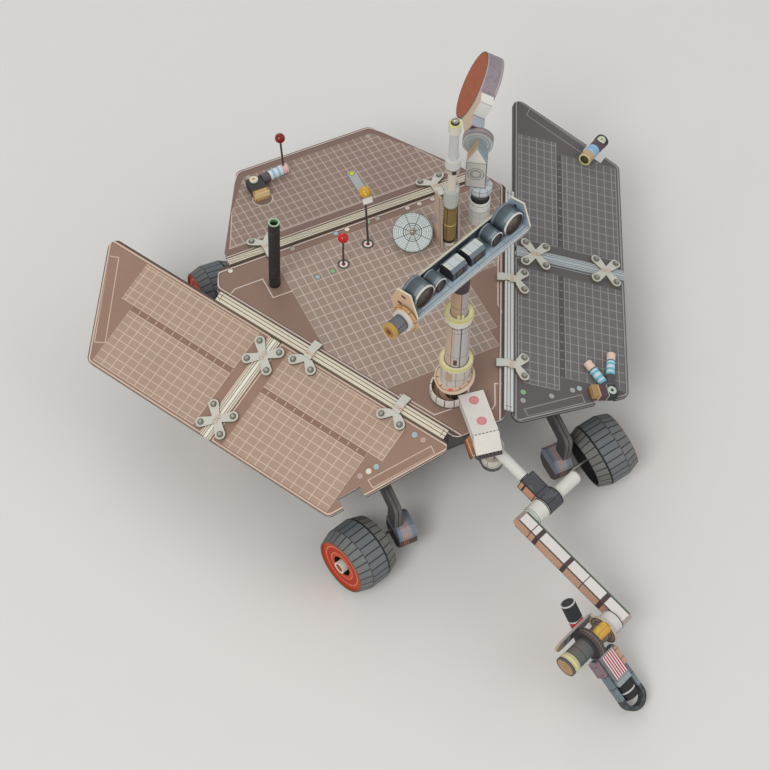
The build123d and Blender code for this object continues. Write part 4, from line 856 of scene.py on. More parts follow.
# Domed lenses, sunk a little in the mouths of the four drum cameras and of the two square
# ones. Each is dark brown glass.
places = []
for lens_a, lens_z, size in ((15.9, 3.35, 1.0), (10.1, 2.2, 0.62), (3.3, 1.5, 0.36)):
    for sign in (-1, 1):
        depth = 1.92 if size > 0.5 else 2.14
        at = BAR + (BAR_WAY * (lens_a * sign) - BAR_AFT * depth + UP * lens_z) / 1000
        places.append(seat(at, BAR_WAY, -BAR_AFT) @ Matrix.Diagonal((size, size, size, 1.0)))
lens = coin(28, 0.00196)
raise_top(lens, (0.16, 0.0), (0.05, -0.06), (0.42, 0.22), (0.42, 0.12), (0.4, 0.05))
bpy.ops.object.shade_smooth()
glass = Card("drum_lens_glass", (58, 42, 36), 0.12)
glass.print(glass.blotches(1.4) > 0.55, (84, 60, 48))
lens.data.materials.append(glass.finish(grain=0.04, fibre=0.05))
copies(lens, places, "camera_lenses", "camera_head")

# The high-gain dish: a round base, a black swivel, a gimbal box with a pointed gable, the
# tilt drum with its faceted neck, and a thick disc with a rust-brown face.
DISH = spot(32.6, 64.8, 0)
DISH_FRONT = heading(-33)
DISH_SIDE = UP.cross(DISH_FRONT)
base, t, radius, turn = rolled("dish_base", (204, 203, 195), DISH)
base.lay(
    (turn.lines(0.06, 1 / 8, 0.008) | t.line(3.4, 0.14), (182, 180, 171)),
    (t > 5.6, (224, 224, 217)),
    (t.line(5.6, 0.2) | t.line(8.1, 0.14), (140, 130, 120)),
    ((t > 8.95) & (radius > 2.7), (232, 232, 226)),
    ((t > 8.9) & (radius < 2.7), (40, 37, 36)),
).dress()

swivel = Card("dish_swivel", (42, 40, 42), 0.5)
t, radius, turn = swivel.axis(DISH, UP, LEFT)
swivel.lay(
    (t.line(10.8, 0.35), (110, 108, 106)),
    (t > 12.35, (206, 212, 214)),
    (t.line(12.6, 0.2) | t.line(14.2, 0.16), (120, 124, 126)),
    ((t > 12.35) & turn.lines(0.03, 0.125, 0.01), (120, 124, 126)),
).dress()

gimbal = Card("gimbal_box", (204, 201, 193))
f = gimbal.along(DISH, DISH_FRONT)
h = gimbal.along(DISH, DISH_SIDE) + 1.6
z = gimbal.along(DISH, UP)
slope = gimbal.facing(UP) > 0.3
front = gimbal.facing(DISH_FRONT) > 0.7
# The sides and gable slopes turned towards the warm lamp are painted tan, as painted light, and those
# turned away grey and blue-grey, as painted shade.
gimbal.lay(
    (gimbal.facing(-DISH_SIDE) > 0.7, (188, 168, 144)),
    (gimbal.facing(DISH_SIDE) > 0.7, (150, 152, 150)),
    (slope & (h < 0), (198, 172, 142)),
    (slope & (h > 0), (150, 164, 168)),
    (front & (z > 24.4), (232, 228, 220)),
)
away = gimbal.spread(h, z, (0, 19.9))
gimbal.lay(
    (front & (away.line(2.25, 0.16) | away.line(1.5, 0.2) | away.line(1.1, 0.1)), (72, 70, 68)),
    (front & ((abs(h) > 2.7) | z.line(24.4, 0.2) | (z < 14.7)), (104, 100, 96)),
    ((1.0 - front) & (abs(h) > 2.7) & (f.line(-2.5, 0.25) | f.line(0.8, 0.25)), (92, 88, 84)),
    (slope & f.line(-0.7, 0.2), (112, 112, 108)),
).dress()

DISH_AXIS = DISH + DISH_SIDE * -0.0019 + UP * 0.0274
DISH_TILT = radians(23.6)
DISH_FACING = -DISH_SIDE * cos(DISH_TILT) + UP * sin(DISH_TILT)
DISH_RISE = DISH_SIDE * sin(DISH_TILT) + UP * cos(DISH_TILT)
holder, f, n, rise = sheet("dish_neck", (220, 218, 210), DISH_AXIS, DISH_FRONT, DISH_FACING, DISH_RISE)
# The side facing the warm lamp is painted tan, as painted light, and the opposite side grey, as painted
# shade.
holder.lay(
    (f.within(-9.4, -5.0), (170, 178, 186)),
    (f.within(-14.3, -10.8), (230, 228, 218)),
    (f.line(-9.4, 0.22) | f.line(-14.2, 0.22) | f.line(-10.7, 0.16), (88, 84, 84)),
    (holder.facing(DISH_FACING) > 0.8, (206, 182, 154)),
    (holder.facing(DISH_FACING) < -0.8, (168, 160, 150)),
)
drum = holder.spread(n, rise, (0, 0))
at_drum = f > -5.35
holder.print(at_drum, (156, 142, 142))
holder.lay(
    (f.line(-3.4, 0.2) | f.line(-4.9, 0.2), (86, 78, 80)),
    (f > -3.0, (166, 174, 174)),
    ((f > -3.0) & (drum.line(3.9, 0.3) | drum.line(2.9, 0.2)), (206, 204, 196)),
    only=at_drum,
).dress()

face_at = DISH_AXIS + DISH_FACING * 0.004 - DISH_FRONT * 0.024 - DISH_RISE * 0.0003
dish, t, radius, turn = rolled("dish", (152, 140, 144), face_at, DISH_FACING, DISH_FRONT)
dish.lay(
    (dish.blotches(1.2) > 0.56, (143, 131, 137)),
    (t.line(-4.6, 0.4) | t.line(-0.2, 0.4), (176, 166, 164)),
    (turn.line(0.06, 0.008) & (radius > 9.8), (84, 72, 74)),
)
marks = turn.within(0.0, 0.1) & t.within(-4.4, -3.2) & (dish.blotches(0.9) > 0.56)
dish.print(marks & (radius > 9.8), (196, 72, 86))
dish.print(t > -0.03, (164, 84, 46))
dish.lay((dish.blotches(2.2) > 0.6, (156, 77, 42)), (radius > 9.7, (74, 50, 44)), only=t > -0.03)
dish.lay(
    (t < -4.97, (164, 154, 152)),
    ((t < -4.97) & (radius.lines(1.6, 2.1, 0.2) | turn.lines(0.0, 1 / 12, 0.004)), (120, 110, 112)),
).dress()

# The low-gain stack: a pole rolled in steps, olive and dark at its foot and pale above,
# between two tapered plates, one tan and one blue-grey.
STACK = spot(20.9, 60.5, 0)
stack, t, radius, turn = rolled("low_gain_stack", (214, 208, 196), STACK)
stack.lay(
    (t.within(1.6, 16.4), (132, 110, 64)),
    (t.within(1.6, 16.4) & (turn.lines(0.1, 0.5, 0.02) | t.line(15.4, 0.22)), (60, 48, 34)),
    (t.line(8.9, 0.32), (214, 200, 130)),
    (t.within(1.6, 2.7), (40, 37, 36)),
    (t.within(16.4, 22.6), (184, 188, 182)),
    (t.line(18.5, 0.2) | t.line(22.4, 0.2), (214, 214, 176)),
    (t.within(22.6, 30.0), (216, 206, 188)),
    (t.within(30.0, 31.6), (190, 182, 176)),
    (t.line(31.7, 0.3) | (t.within(30.2, 31.4) & turn.within(0.66, 0.76)), (52, 46, 48)),
    (t.within(32.0, 35.05), (206, 206, 200)),
    (t.line(34.8, 0.3), (226, 222, 196)),
    (t.within(35.05, 45.2), (200, 200, 198)),
    (t.line(44.9, 0.25), (60, 54, 56)),
    (t > 45.2, (218, 212, 198)),
    (t > 48.0, (216, 212, 146)),
    ((t > 48.35) & (radius < 1.2), (60, 58, 56)),
).dress(grain=0.08)

fairing, x, y, t = sheet("fairing_plates", (190, 166, 142), STACK, LEFT, AFT, UP)
fairing.lay(
    (x > 0, (142, 156, 168)),
    (fairing.blotches(4.0) > 0.6, (160, 154, 150)),
    ((y - t * 0.1).line(-0.6, 0.25) | t.line(1.2, 0.2), (84, 80, 84)),
    (abs(fairing.facing(LEFT)) < 0.5, (186, 172, 154)),
).dress()

# The pins and the tube: a matt black tube with a green mouth, two pins with red glass
# heads, one with an amber head that holds a strap, and a printed disc on a steel pin.
lean = Vector((sin(radians(2)), 0, cos(radians(2))))
tube, t, radius, turn = rolled("tube_mast", (36, 34, 34), spot(-29.8, 67.4, 0), lean)
# Inside the bore, the green is painted darker below the mouth, as painted shade.
tube.lay(
    (tube.blotches(1.2) > 0.6, (48, 45, 44)),
    ((t > 25.75) & (radius > 1.05), (166, 190, 160)),
    ((radius < 1.15) & (t > 20.0), (46, 66, 44)),
    ((radius < 1.15) & (t > 24.9), (112, 148, 104)),
).dress(mottle=0.12)


def glass_head(card, middle, size, colour):
    """Prints a pin's round head, makes it glossier than the pin and returns its mask."""
    level = card.spread(card.along(middle, LEFT), card.along(middle, AFT), (0, 0))
    high = card.along(middle, UP)
    on_head = card.work("SQRT", level * level + high * high) < size
    card.print(on_head, colour)
    card.roughness = card.roughness - on_head * 0.24
    return on_head


red = Card("red_pins", (70, 64, 62), 0.34)
first = spot(-9.5, 65.7, 11.4)
second = rear_start + (LEFT * -9.4 + rear_way * 29.8 + rear_up * 13.2) / 1000
for head, colour in ((first, (196, 26, 22)), (second, (132, 22, 18))):
    glass_head(red, head, 1.62, colour)
red.dress(grain=0.05, mottle=0.08, fibre=0.04)

amber = Card("amber_pin", (62, 56, 54), 0.34)
on_head = glass_head(amber, spot(-1.0, 69.6, 22.4), 1.8, (206, 156, 40))
amber.print(on_head & (amber.blotches(1.3) > 0.58), (228, 190, 84))
amber.dress(grain=0.04, mottle=0.1, fibre=0.04)

disc_lean = radians(28)
disc_up = Vector((-0.433 * sin(disc_lean), -0.901 * sin(disc_lean), cos(disc_lean)))
disc, t, radius, turn = rolled("printed_disc", (206, 211, 204), spot(11.8, 65.4, 3.4), disc_up)
disc.lay(
    (radius.lines(0.2, 0.62, 0.13), (138, 156, 156)),
    (turn.lines(0.028, 1 / 24, 0.003) & (radius > 3.4), (150, 166, 164)),
)
spoke = (turn % 0.125) * radius * tau
disc.lay(
    ((spoke < 0.08) | (radius * tau * 0.125 - spoke < 0.08), (58, 62, 64)),
    (radius.line(2.6, 0.2) | radius.line(5.6, 0.14), (44, 48, 52)),
    (radius.line(2.0, 0.12), (44, 48, 52)),
    ((radius < 0.8) & (t > 0.25), (106, 76, 64)),
    (t < 0.05, (120, 112, 104)),
    (radius > 5.72, (96, 96, 92)),
).dress(grain=0.05)

# The strap that the amber bead pins down: grey card with a rounded end and a yellow dot,
# folded down to a small white tab in front of the pin.
STRAP_TOP = 20.75
STRAP_MIDDLE = spot(-0.8, 74.1, STRAP_TOP)
strap = box(0.002, (1.4, 5.5, 0.14))
bpy.ops.object.mode_set(mode="EDIT")
bpy.context.tool_settings.mesh_select_mode = (False, True, False)
bpy.ops.mesh.select_all(action="DESELECT")
bpy.ops.object.mode_set(mode="OBJECT")
for edge in strap.data.edges:
    ends = [strap.data.vertices[index].co for index in edge.vertices]
    upright = abs(ends[0].z - ends[1].z) > 0.0001
    edge.select = upright and ends[0].y > 0.005
bpy.ops.object.mode_set(mode="EDIT")
bpy.ops.mesh.bevel(offset=0.0013, segments=6)
bpy.ops.object.mode_set(mode="OBJECT")
pick_faces(strap, lambda centre, normal: normal.y < -0.9)
bpy.ops.mesh.extrude_region_move(TRANSFORM_OT_translate={"value": (0, -0.0007, -0.0014)})
bpy.ops.object.mode_set(mode="OBJECT")
strap_card, x, y, t = sheet("strap_card", (168, 172, 170), STRAP_MIDDLE, LEFT, AFT, UP)
strap_card.print(abs(x) > 1.2, (120, 122, 120))
away = strap_card.spread(x, y, (0, 4.45))
strap_card.lay(
    (away < 0.85, (96, 96, 66)),
    (away < 0.68, (214, 206, 60)),
    (y < -5.45, (224, 220, 210)),
    (strap_card.facing(UP) < -0.6, (96, 78, 56)),
)
strap.data.materials.append(strap_card.finish())
copies(strap, [seat(STRAP_MIDDLE, LEFT, UP)], "amber_strap", "chassis")

# The white cover over the arm's turning head, with two pink printed dots and a fold line,
# and a brown gusset glued in under its right side.
COVER = spot(1.65, 9.3, 0)
COVER_WAY = heading(-9.7)
COVER_SIDE = UP.cross(COVER_WAY)
cover, f, w, z = sheet("front_cover", (226, 220, 210), COVER, COVER_WAY, COVER_SIDE, UP)
on_top = z > 2.92
for dot_f in (2.57, 9.42):
    away = cover.spread(f, w, (dot_f, 0.1))
    cover.lay(
        (away < 1.6, (232, 212, 206)),
        (away < 1.28, (200, 112, 114)),
        (away < 1.04, (222, 146, 144)),
        only=on_top,
    )
cover.lay(
    (f.line(13.3, 0.26) & (((w + 9.0) % 1.0) < 0.62), (58, 54, 52)),
    (f > 17.05, (88, 82, 80)),
    ((f > 17.05) & (f < 17.5) & (((w + 9.0) % 1.0) < 0.6), (34, 31, 32)),
    (z < -1.6, (66, 58, 58)),
    ((f < 12.3) & (z < 0.25), (126, 112, 102)),
    ((abs(cover.facing(COVER_SIDE)) > 0.7) & (z > 2.5), (170, 160, 150)),
    (cover.facing(UP) < -0.4, (120, 104, 92)),
).dress()

gusset = box(0.002, (2.9, 0.25, 1.5))
pick_faces(gusset, lambda centre, normal: normal.x > 0.9)
bpy.ops.transform.translate(value=(0, 0, -0.0008))
bpy.ops.transform.resize(value=(1, 1, 0.6))
bpy.ops.object.mode_set(mode="OBJECT")
soften(0.00008)
rust = Card("gusset_card", (172, 110, 64))
sunk = rust.along(COVER, -UP)
rust.lay(
    (rust.blotches(2.4) > 0.55, (146, 88, 50)),
    (sunk.line(1.3, 0.2), (222, 204, 180)),
    (sunk > 1.9, (116, 72, 48)),
)
gusset.data.materials.append(rust.finish())
gusset_at = COVER + (COVER_WAY * 13.9 - COVER_SIDE * 4.1 - UP * 1.3) / 1000
gusset_up = UP + COVER_SIDE * 0.62
copies(gusset, [seat(gusset_at, COVER_WAY, gusset_up)], "cover_gusset", "chassis")

# The small instruments: a foot and a striped can on the rear panel, a lying can in the
# left wing's rear notch, and a box with two cans by its front notch.
small, x, d, z = sheet("rear_instrument", (54, 50, 52), rear_start, LEFT, rear_way, rear_up)
away = small.spread(x, d, (-19.5, 28.0))
small.lay(
    (d < 23.8, (196, 158, 104)),
    ((d < 23.8) & (x.line(-21.4, 0.2) | x.line(-17.4, 0.2) | d.line(23.7, 0.2)), (110, 80, 52)),
    ((d < 22.1) & (z > 0.9), (224, 200, 150)),
    ((z > 2.68) & (away < 1.4), (228, 220, 200)),
    ((z > 2.68) & (away < 0.5), (190, 140, 60)),
)
can_start = rear_start + (LEFT * -17.0 + rear_way * 28.7 + rear_up * 1.5) / 1000
can_end = rear_start + (LEFT * -8.4 + rear_way * 29.9 + rear_up * 1.5) / 1000
t, radius, turn = small.axis(can_start, can_end - can_start, UP)
on_can = (radius < 1.56) & (t > 0.05)
small.print(on_can, (92, 84, 88))
small.lay(
    (t.within(2.6, 6.9), (222, 228, 228)),
    (t.within(3.4, 4.3) | t.within(5.2, 6.0), (158, 196, 216)),
    (t > 7.0, (230, 190, 182)),
    (t > 8.62, (238, 224, 214)),
    only=on_can,
).dress(grain=0.08)

wing_start, wing_along, wing_out, wing_up = wing_frame("left")


def on_wing(v, s, height):
    """A place on the left wing: outwards, aft along its hinge, and above its print."""
    return wing_start + (wing_out * v + wing_along * s + wing_up * height) / 1000


cams, v, s, z = sheet("wing_cameras", (104, 88, 94), wing_start, wing_out, wing_along, wing_up)
can_start = on_wing(24.7, 98.6, 1.9)
t, radius, turn = cams.axis(can_start, on_wing(30.7, 108.4, 1.9) - can_start, wing_up)
rear_can = s > 90
cams.lay(
    (t.within(2.7, 5.9), (150, 190, 214)),
    (t.line(4.3, 0.5), (128, 170, 204)),
    (t.within(5.9, 9.6), (86, 72, 80)),
    (t < 2.7, (196, 166, 128)),
    (t < 0.12, (222, 214, 150)),
    ((radius < 1.4) & (t < 1.4), (96, 92, 50)),
    (t > 9.9, (58, 52, 54)),
    only=rear_can,
)
away = cams.spread(v, s, (29.7, 106.8))
cams.lay(
    ((z > 2.4) & (away < 1.6), (58, 52, 54)),
    ((z > 2.4) & (away < 1.3), (206, 212, 184)),
    ((z > 2.4) & (away < 0.35), (128, 150, 118)),
    ((t > 11.4) & (radius < 1.5), (222, 214, 186)),
    ((t > 11.4) & (radius < 0.7), (84, 122, 76)),
    only=rear_can,
)
box_turn = radians(14.3)
box_way = wing_out * cos(box_turn) + wing_along * sin(box_turn)
box_side = wing_along * cos(box_turn) - wing_out * sin(box_turn)
box_at = on_wing(28.5, 14.9, 0)
p = cams.along(box_at, box_way)
q = cams.along(box_at, box_side)
front_box = (s < 90) & (abs(q) < 1.85) & (abs(p) < 3.75)
cams.print(front_box, (88, 66, 68))
cams.lay(
    (p < -1.6, (172, 134, 90)),
    ((p < -1.6) & (z < 1.1), (104, 74, 56)),
    (p > 0.9, (48, 54, 50)),
    (p.line(-1.6, 0.26), (222, 178, 150)),
    (p.line(0.95, 0.22), (182, 182, 176)),
    only=front_box,
)
away = cams.spread(p, q, (2.3, 0.0))
cams.lay(
    (front_box & (z > 2.5) & (away < 1.25), (196, 206, 190)),
    (front_box & (z > 2.5) & (away < 0.5), (50, 52, 48)),
)
for start, end in (((30.0, 16.8), (24.2, 24.0)), ((30.6, 16.8), (31.4, 28.6))):
    begin = on_wing(*start, 1.2)
    stop = on_wing(*end, 1.2)
    t, radius, turn = cams.axis(begin, stop - begin, wing_up)
    length = (stop - begin).length * 1000
    on_tube = (1.0 - front_box) & (s < 90) & (radius < 1.26) & t.within(1.0, 40)
    cams.print(on_tube, (78, 76, 80))
    cams.lay(
        (t > length - 7.4, (118, 186, 202)),
        (t.line(length - 6.4, 0.6) | t.line(length - 4.7, 1.0), (202, 220, 222)),
        (t.line(length - 3.2, 0.4), (202, 220, 222)),
        (t > length - 2.7, (72, 68, 72)),
        (t > length - 2.4, (230, 200, 182)),
        only=on_tube,
    )
cams.dress(grain=0.08)

# The arm as far as its wrist: a white shoulder can and tube, a slate sleeve and collar at
# the elbow, and a square beam with a white top, tan sides and dark printed bands.
ARM_FRONT = heading(20.6)
ARM_LEFT = UP.cross(ARM_FRONT)
SHOULDER = spot(3.4, -1.8, -8.9)


def on_arm(front, left, high):
    """A place in the arm's own frame, in millimetres from its shoulder."""
    return SHOULDER + (ARM_FRONT * front + ARM_LEFT * left + UP * high) / 1000


def pitched(angle):
    """The direction along a part of the arm, and the one square to its top."""
    turned = radians(angle)
    return ARM_FRONT * cos(turned) + UP * sin(turned), UP * cos(turned) - ARM_FRONT * sin(turned)


shoulder, t, radius, turn = rolled("shoulder_can", (214, 208, 196), on_arm(0, 0, -6.1))
shoulder.lay(
    (t.line(0.7, 0.2) | turn.lines(0.1, 0.25, 0.01), (120, 112, 104)),
    (t > 2.98, (196, 186, 174)),
    ((t > 3.1) & (abs(shoulder.facing(ARM_LEFT)) > 0.7), (188, 176, 162)),
).dress()

upper_way, upper_up = pitched(-15.6)
elbow = on_arm(19.84, 0, -5.54)
rim_highlight_top, t, radius, turn = rolled("upper_arm", (222, 218, 210), on_arm(0, 0, 0), upper_way, upper_up)
rise = rim_highlight_top.along(on_arm(0, 0, 0), upper_up)
cross = rim_highlight_top.along(on_arm(0, 0, 0), ARM_LEFT)
sleeve = t > 11.85
rim_highlight_top.lay(((t < 11.85) & turn.line(0.5, 0.02), (150, 142, 134)), (t < 1.6, (204, 196, 184)))
rim_highlight_top.print(sleeve, (74, 74, 79))
rim_highlight_top.lay(
    (rim_highlight_top.blotches(3.2) > 0.55, (88, 88, 92)),
    (rim_highlight_top.facing(-ARM_LEFT) > 0.6, (206, 150, 120)),
    ((rim_highlight_top.facing(-ARM_LEFT) > 0.6) & t.within(13.2, 13.8), (44, 38, 42)),
    (rim_highlight_top.facing(ARM_LEFT) > 0.6, (128, 122, 126)),
    only=sleeve,
)
edges = (abs(cross) > 2.05) & (abs(rise) > 1.8)
rim_highlight_top.lay(
    (sleeve & (edges | t.line(12.0, 0.3) | t.line(17.3, 0.25)), (34, 32, 38)),
    (t.line(11.6, 0.35), (70, 62, 66)),
).dress()

collar, t, radius, turn = rolled("elbow_drive", (220, 216, 206), elbow, ARM_LEFT, UP)
slate = t < 2.96
collar.print(slate, (72, 73, 78))
collar.lay(
    (collar.blotches(3.0) > 0.55, (86, 87, 91)),
    (turn.lines(0.08, 0.25, 0.012) | t.line(-2.05, 0.3) | t.line(2.7, 0.35), (32, 31, 37)),
    only=slate,
)
collar.lay(
    ((t > 2.85) & t.within(2.85, 3.2), (60, 56, 60)),
    (t.line(11.2, 0.2), (170, 162, 152)),
    ((t > 11.35) & radius.lines(0.9, 0.9, 0.14), (170, 162, 152)),
).dress()

drum, t, radius, turn = rolled("elbow_drum", (218, 216, 206), elbow, -ARM_LEFT, UP)
drum.lay(
    (turn.lines(0.12, 0.5, 0.012), (160, 152, 144)),
    (t.line(2.5, 0.3), (70, 68, 66)),
    (t.line(6.3, 0.24) | t.line(6.9, 0.3), (136, 154, 134)),
).dress()

fore_way, fore_up = pitched(-14.4)
beam_start = on_arm(19.84, -7.2, -5.54)
beam, t, rise, cross = sheet("forearm_beam", (224, 218, 212), beam_start, fore_way, fore_up, -ARM_LEFT)
on_side = beam.facing(-ARM_LEFT) > 0.6
far_side = beam.facing(ARM_LEFT) > 0.6
beam.lay(
    (on_side, (196, 154, 126)),
    (on_side & (beam.blotches(5.0) > 0.6), (188, 144, 114)),
    (far_side, (98, 122, 96)),
    (beam.facing(fore_up) < -0.6, (128, 104, 90)),
)
BANDS = (
    # (middle, width) of the dark bands along the beam
    (5.2, 1.3), (15.4, 1.3), (28.6, 1.4),
)
for middle, width in BANDS:
    beam.lay((t.line(middle, width), (78, 60, 62)), (t.line(middle, width) & on_side, (66, 44, 42)))
beam.print(t.line(2.9, 0.26) | t.line(21.8, 0.26), (70, 56, 56))
near_edge = (cross > 3.35) & (rise > 1.9)
beam.lay(
    (near_edge | ((cross > 3.4) & (rise < -2.0)), (66, 54, 54)),
    ((rise > 2.0) & cross.within(0.0, 0.4), (96, 110, 88)),
    ((rise > 2.0) & cross.within(0.4, 0.58), (52, 50, 48)),
    (abs(beam.facing(fore_way)) > 0.6, (178, 160, 152)),
).dress()

wrist = on_arm(52.68, 0, -13.97)
turner, t, radius, turn = rolled("wrist_drum", (216, 212, 206), wrist, -ARM_LEFT, UP)
turner.lay(
    (turner.facing(ARM_FRONT - UP) > 0.5, (178, 184, 186)),
    (turn.lines(0.16, 0.5, 0.01), (170, 160, 152)),
    (t.line(10.95, 0.3) | t.line(14.3, 0.2), (88, 80, 78)),
).dress()

# The turret: a round flange with a side plate, a gold can, a dark collar and a long grey
# can with a cream band and a tan end.
turret, t, radius, turn = rolled("turret_frame", (142, 138, 130), wrist, -ARM_LEFT, UP)
front = turret.along(wrist, ARM_FRONT)
high = turret.along(wrist, UP)
flange = t < 15.2
turret.print(flange, (150, 132, 114))
turret.lay(
    (radius.line(3.85, 0.22) | radius.line(2.85, 0.18), (62, 52, 50)),
    (turn.lines(0.05, 1 / 9, 0.012) & (radius > 2.9), (92, 74, 66)),
    (radius > 4.12, (196, 178, 158)),
    only=flange,
)
barrel = (radius < 2.7) & (t > 15.2)
turret.lay((barrel, (132, 118, 106)), (barrel & t.lines(16.0, 1.3, 0.2), (70, 60, 58)))
side_plate = front < -4.5
turret.print(side_plate, (146, 148, 144))
turret.lay(
    (t > 25.6, (178, 160, 136)),
    ((t.within(21.6, 22.6) | t.within(24.4, 24.9)) & (abs(high - 0.2) < 1.3), (48, 42, 44)),
    (abs(high - 0.2).line(1.75, 0.2), (84, 78, 78)),
    (turret.facing(UP) > 0.6, (158, 154, 148)),
    (front.line(-5.15, 0.2) & (high > 1.5), (206, 168, 158)),
    only=side_plate,
).dress()

gold_at = wrist + (ARM_FRONT * 0.6 + UP * 2.6) / 1000
gold, t, radius, turn = rolled("gold_can", (212, 166, 66), gold_at, -ARM_LEFT, UP)
gold.lay(
    (gold.blotches(1.8) > 0.56, (224, 182, 84)),
    (t.line(15.1, 0.2) | turn.lines(0.2, 0.25, 0.012), (150, 108, 40)),
).dress()

ring, t, radius, turn = rolled("turret_collar", (86, 76, 72), wrist, -ARM_LEFT, UP)
ring.lay(
    ((turn * 34.0).lines(0.0, 1.0, 0.24) & (radius > 4.4), (56, 48, 46)),
    (t.line(20.4, 0.24) & (radius > 4.4), (128, 112, 104)),
)
ring.lay(
    (t > 21.3, (62, 58, 60)),
    ((t > 21.3) & (radius.line(4.0, 0.2) | radius.line(3.2, 0.2)), (34, 31, 32)),
    (t < 19.6, (104, 90, 82)),
    only=radius < 4.4,
).dress()

long_can, t, radius, turn = rolled("turret_can", (106, 100, 95), wrist, -ARM_LEFT, UP)
long_can.lay(
    (long_can.facing(ARM_FRONT) > 0.2, (94, 98, 96)),
    (t.line(24.9, 0.2) | t.line(21.8, 0.3) | turn.lines(0.3, 0.5, 0.01), (60, 56, 58)),
    (t.within(27.2, 29.5), (196, 188, 150)),
    (t.within(28.3, 28.8), (226, 214, 134)),
    (t.line(27.2, 0.2) | t.line(29.5, 0.3), (62, 58, 56)),
    (t > 29.6, (92, 88, 84)),
    ((t > 29.98) & (radius < 2.5), (174, 138, 100)),
    ((t > 29.98) & (long_can.blotches(2.0) > 0.58) & (radius < 2.5), (162, 126, 90)),
).dress()

# The grinder: a grey case printed with plain red and white stripes, a black round head
# with a white crescent, and the blue-grey bail of card that guards it.
grind_way, grind_up = pitched(-38.0)
grind_at = wrist - ARM_LEFT * 0.01915
grinder, t, w, rise = sheet("grinder", (136, 142, 144), grind_at, grind_way, -ARM_LEFT, grind_up)
case = t < 13.5
on_top = case & (rise > 2.1)
stripes = on_top & t.within(4.4, 11.6) & w.within(-2.4, 1.9)
grinder.lay((stripes, (226, 222, 220)), (stripes & (((w + 9.0) % 0.72) < 0.38), (176, 34, 58)))
grinder.lay(
    ((w > 1.95) & w.line(2.15, 0.2), (116, 56, 62)),
    ((rise < 2.0) & (t.line(7.2, 0.2) | t.line(11.4, 0.2) | rise.line(1.2, 0.16)), (78, 78, 80)),
    (t > 12.2, (150, 158, 160)),
    only=case,
)
head = t > 13.52
grinder.print(head, (32, 32, 34))
around = grinder.spread(w, rise, (0, 0))
grinder.lay(
    (head & t.line(16.2, 0.45) & (rise > 0.2), (196, 196, 196)),
    (head & (t > 18.2) & around.line(1.5, 0.3), (92, 92, 94)),
).dress()

bail, t, w, rise = sheet("grinder_bail", (112, 126, 130), grind_at, grind_way, -ARM_LEFT, grind_up)
bail.lay(
    (bail.blotches(2.6) > 0.56, (124, 138, 142)),
    (t > 17.6, (58, 62, 64)),
    ((t > 17.6) & (bail.blotches(1.6) > 0.58), (78, 84, 84)),
    ((w > 0) & t.within(4.6, 9.4), (148, 118, 126)),
    ((w > 0) & (t.line(4.6, 0.25) | t.line(9.4, 0.25)), (74, 58, 64)),
    (t.line(13.4, 0.25) | t.line(17.5, 0.3), (56, 62, 66)),
    ((rise > 0.9) & (t < 17.5) & (bail.facing(grind_up) < 0.5), (70, 78, 82)),
).dress()

foot_at = wrist + (ARM_FRONT * -5.25 - ARM_LEFT * 18.85 + UP * 1.0) / 1000
can_lean = radians(36)
back_way = UP * cos(can_lean) - ARM_FRONT * sin(can_lean)
black, t, radius, turn = rolled("black_can", (36, 37, 40), foot_at, back_way, ARM_LEFT)
black.lay(
    (turn.lines(0.0, 1 / 14, 0.01) & (t < 7.5), (50, 51, 54)),
    (t < 2.1, (186, 30, 52)),
    (t.line(2.3, 0.45), (206, 206, 202)),
    ((t > 7.3) & (radius > 1.75), (206, 206, 202)),
    ((t > 7.55) & (radius < 1.75), (58, 58, 62)),
    ((t > 7.55) & radius.line(1.0, 0.2), (30, 30, 32)),
).dress()

# Folded card brackets round the grinder: a tan one beside its case, a pink one on the
# bail's leg and a tan one under it. Each is a box with its edges pressed round.
block = box(0.001, (1, 1, 1))
raise_top(block, (0.1, 0.05))
soften(0.00003)
block_card, w, t = sheet("bracket_block_card", (186, 156, 132), grind_at, -ARM_LEFT, grind_way)
block_card.lay(
    (w > 3.0, (134, 114, 122)),
    (t.line(5.4, 0.2) | t.line(8.2, 0.2), (92, 70, 64)),
    (abs(block_card.facing(grind_way)) > 0.8, (212, 196, 186)),
)
block.data.materials.append(block_card.finish())
BLOCKS = (
    # (along the grinder, across it, above it, length, width, height)
    (7.4, -3.15, 0.9, 5.4, 1.5, 2.0), (6.6, 4.25, 0.1, 4.6, 0.9, 2.3),
    (7.6, 1.8, -2.6, 5.0, 2.6, 0.8),
)
places = []
for along, across, above, length, wide, high in BLOCKS:
    at = grind_at + (grind_way * along - ARM_LEFT * across + grind_up * above) / 1000
    places.append(seat(at, grind_way, grind_up) @ Matrix.Diagonal((length, wide, high, 1.0)))
copies(block, places, "grinder_brackets", "arm_turret")

# The table top it is shown on: a plain pale floor under soft studio light, with the
# camera where the photograph was taken from. None of this belongs to the model.
CAMERA_AT = Vector((-0.144449, -0.257147, 0.442050))
CAMERA_RIGHT = Vector((0.90379, -0.42795, 0.00445))
CAMERA_DOWN = Vector((-0.34484, -0.73435, -0.58465))
CAMERA_AHEAD = Vector((0.25347, 0.52687, -0.81127))
PHOTO_SIDE = 770.0
PHOTO_MIDDLE = (378.0, 383.0)
FOCAL = 1856.0
SENSOR = 36.0

bpy.ops.object.select_all(action="DESELECT")
bpy.ops.mesh.primitive_plane_add(size=6.0, location=(0, 0, 0))
table = bpy.context.object
table.name = "pale_table"
table_finish = Card("pale_table", (228, 224, 218), 0.9)
table.data.materials.append(table_finish.finish(grain=0.01, mottle=0.01, fibre=0.0))

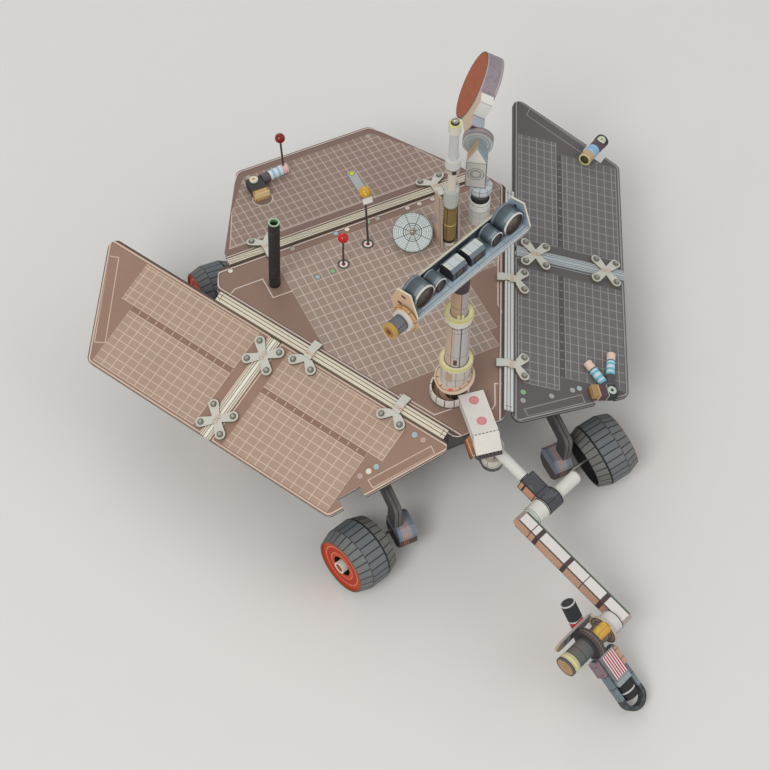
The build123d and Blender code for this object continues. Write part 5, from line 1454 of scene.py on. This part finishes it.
eye = bpy.data.cameras.new("camera")
eye.sensor_width = SENSOR
eye.lens = FOCAL / PHOTO_SIDE * SENSOR
eye.shift_x = (PHOTO_SIDE / 2 - PHOTO_MIDDLE[0]) / PHOTO_SIDE
eye.shift_y = (PHOTO_MIDDLE[1] - PHOTO_SIDE / 2) / PHOTO_SIDE
eye.clip_start = 0.01
camera = bpy.data.objects.new("camera", eye)
turn = Matrix((CAMERA_RIGHT, -CAMERA_DOWN, -CAMERA_AHEAD)).transposed()
camera.matrix_world = Matrix.Translation(CAMERA_AT) @ turn.to_4x4()
bpy.context.scene.collection.objects.link(camera)
bpy.context.scene.camera = camera

LAMPS = (
    # (name, place, side, power)
    ("key_lamp", (-0.75, -0.55, 1.05), 0.55, 7.5),
    ("fill_lamp", (0.8, -0.7, 0.8), 0.9, 2.2),
    ("back_lamp", (0.1, 1.0, 0.9), 0.8, 2.6),
)
for name, place, side, power in LAMPS:
    lamp = bpy.data.lights.new(name, "AREA")
    lamp.size = side
    lamp.energy = power
    stand = bpy.data.objects.new(name, lamp)
    stand.location = place
    stand.rotation_euler = (-Vector(place)).to_track_quat("-Z", "Y").to_euler()
    bpy.context.scene.collection.objects.link(stand)

room = bpy.data.worlds.new("soft_room")
room.use_nodes = True
bpy.context.scene.world = room
nodes = room.node_tree.nodes
links = room.node_tree.links
glow = nodes["Background"]
glow.inputs["Color"].default_value = (0.93, 0.96, 1.0, 1.0)
glow.inputs["Strength"].default_value = 0.5
# The glow lights the model, and the backdrop is what is seen behind it and in gloss.
backdrop = nodes.new("ShaderNodeBackground")
backdrop.inputs["Color"].default_value = (0.62, 0.615, 0.6, 1.0)
backdrop.inputs["Strength"].default_value = 1.0
ray = nodes.new("ShaderNodeLightPath")
seen = ray.outputs["Is Camera Ray"]
for kind in ("Is Glossy Ray", "Is Transmission Ray"):
    either = nodes.new("ShaderNodeMath")
    either.operation = "MAXIMUM"
    links.new(seen, either.inputs[0])
    links.new(ray.outputs[kind], either.inputs[1])
    seen = either.outputs[0]
mixed = nodes.new("ShaderNodeMixShader")
links.new(seen, mixed.inputs[0])
links.new(glow.outputs[0], mixed.inputs[1])
links.new(backdrop.outputs[0], mixed.inputs[2])
links.new(mixed.outputs[0], nodes["World Output"].inputs["Surface"])
bpy.context.scene.view_settings.view_transform = "Standard"
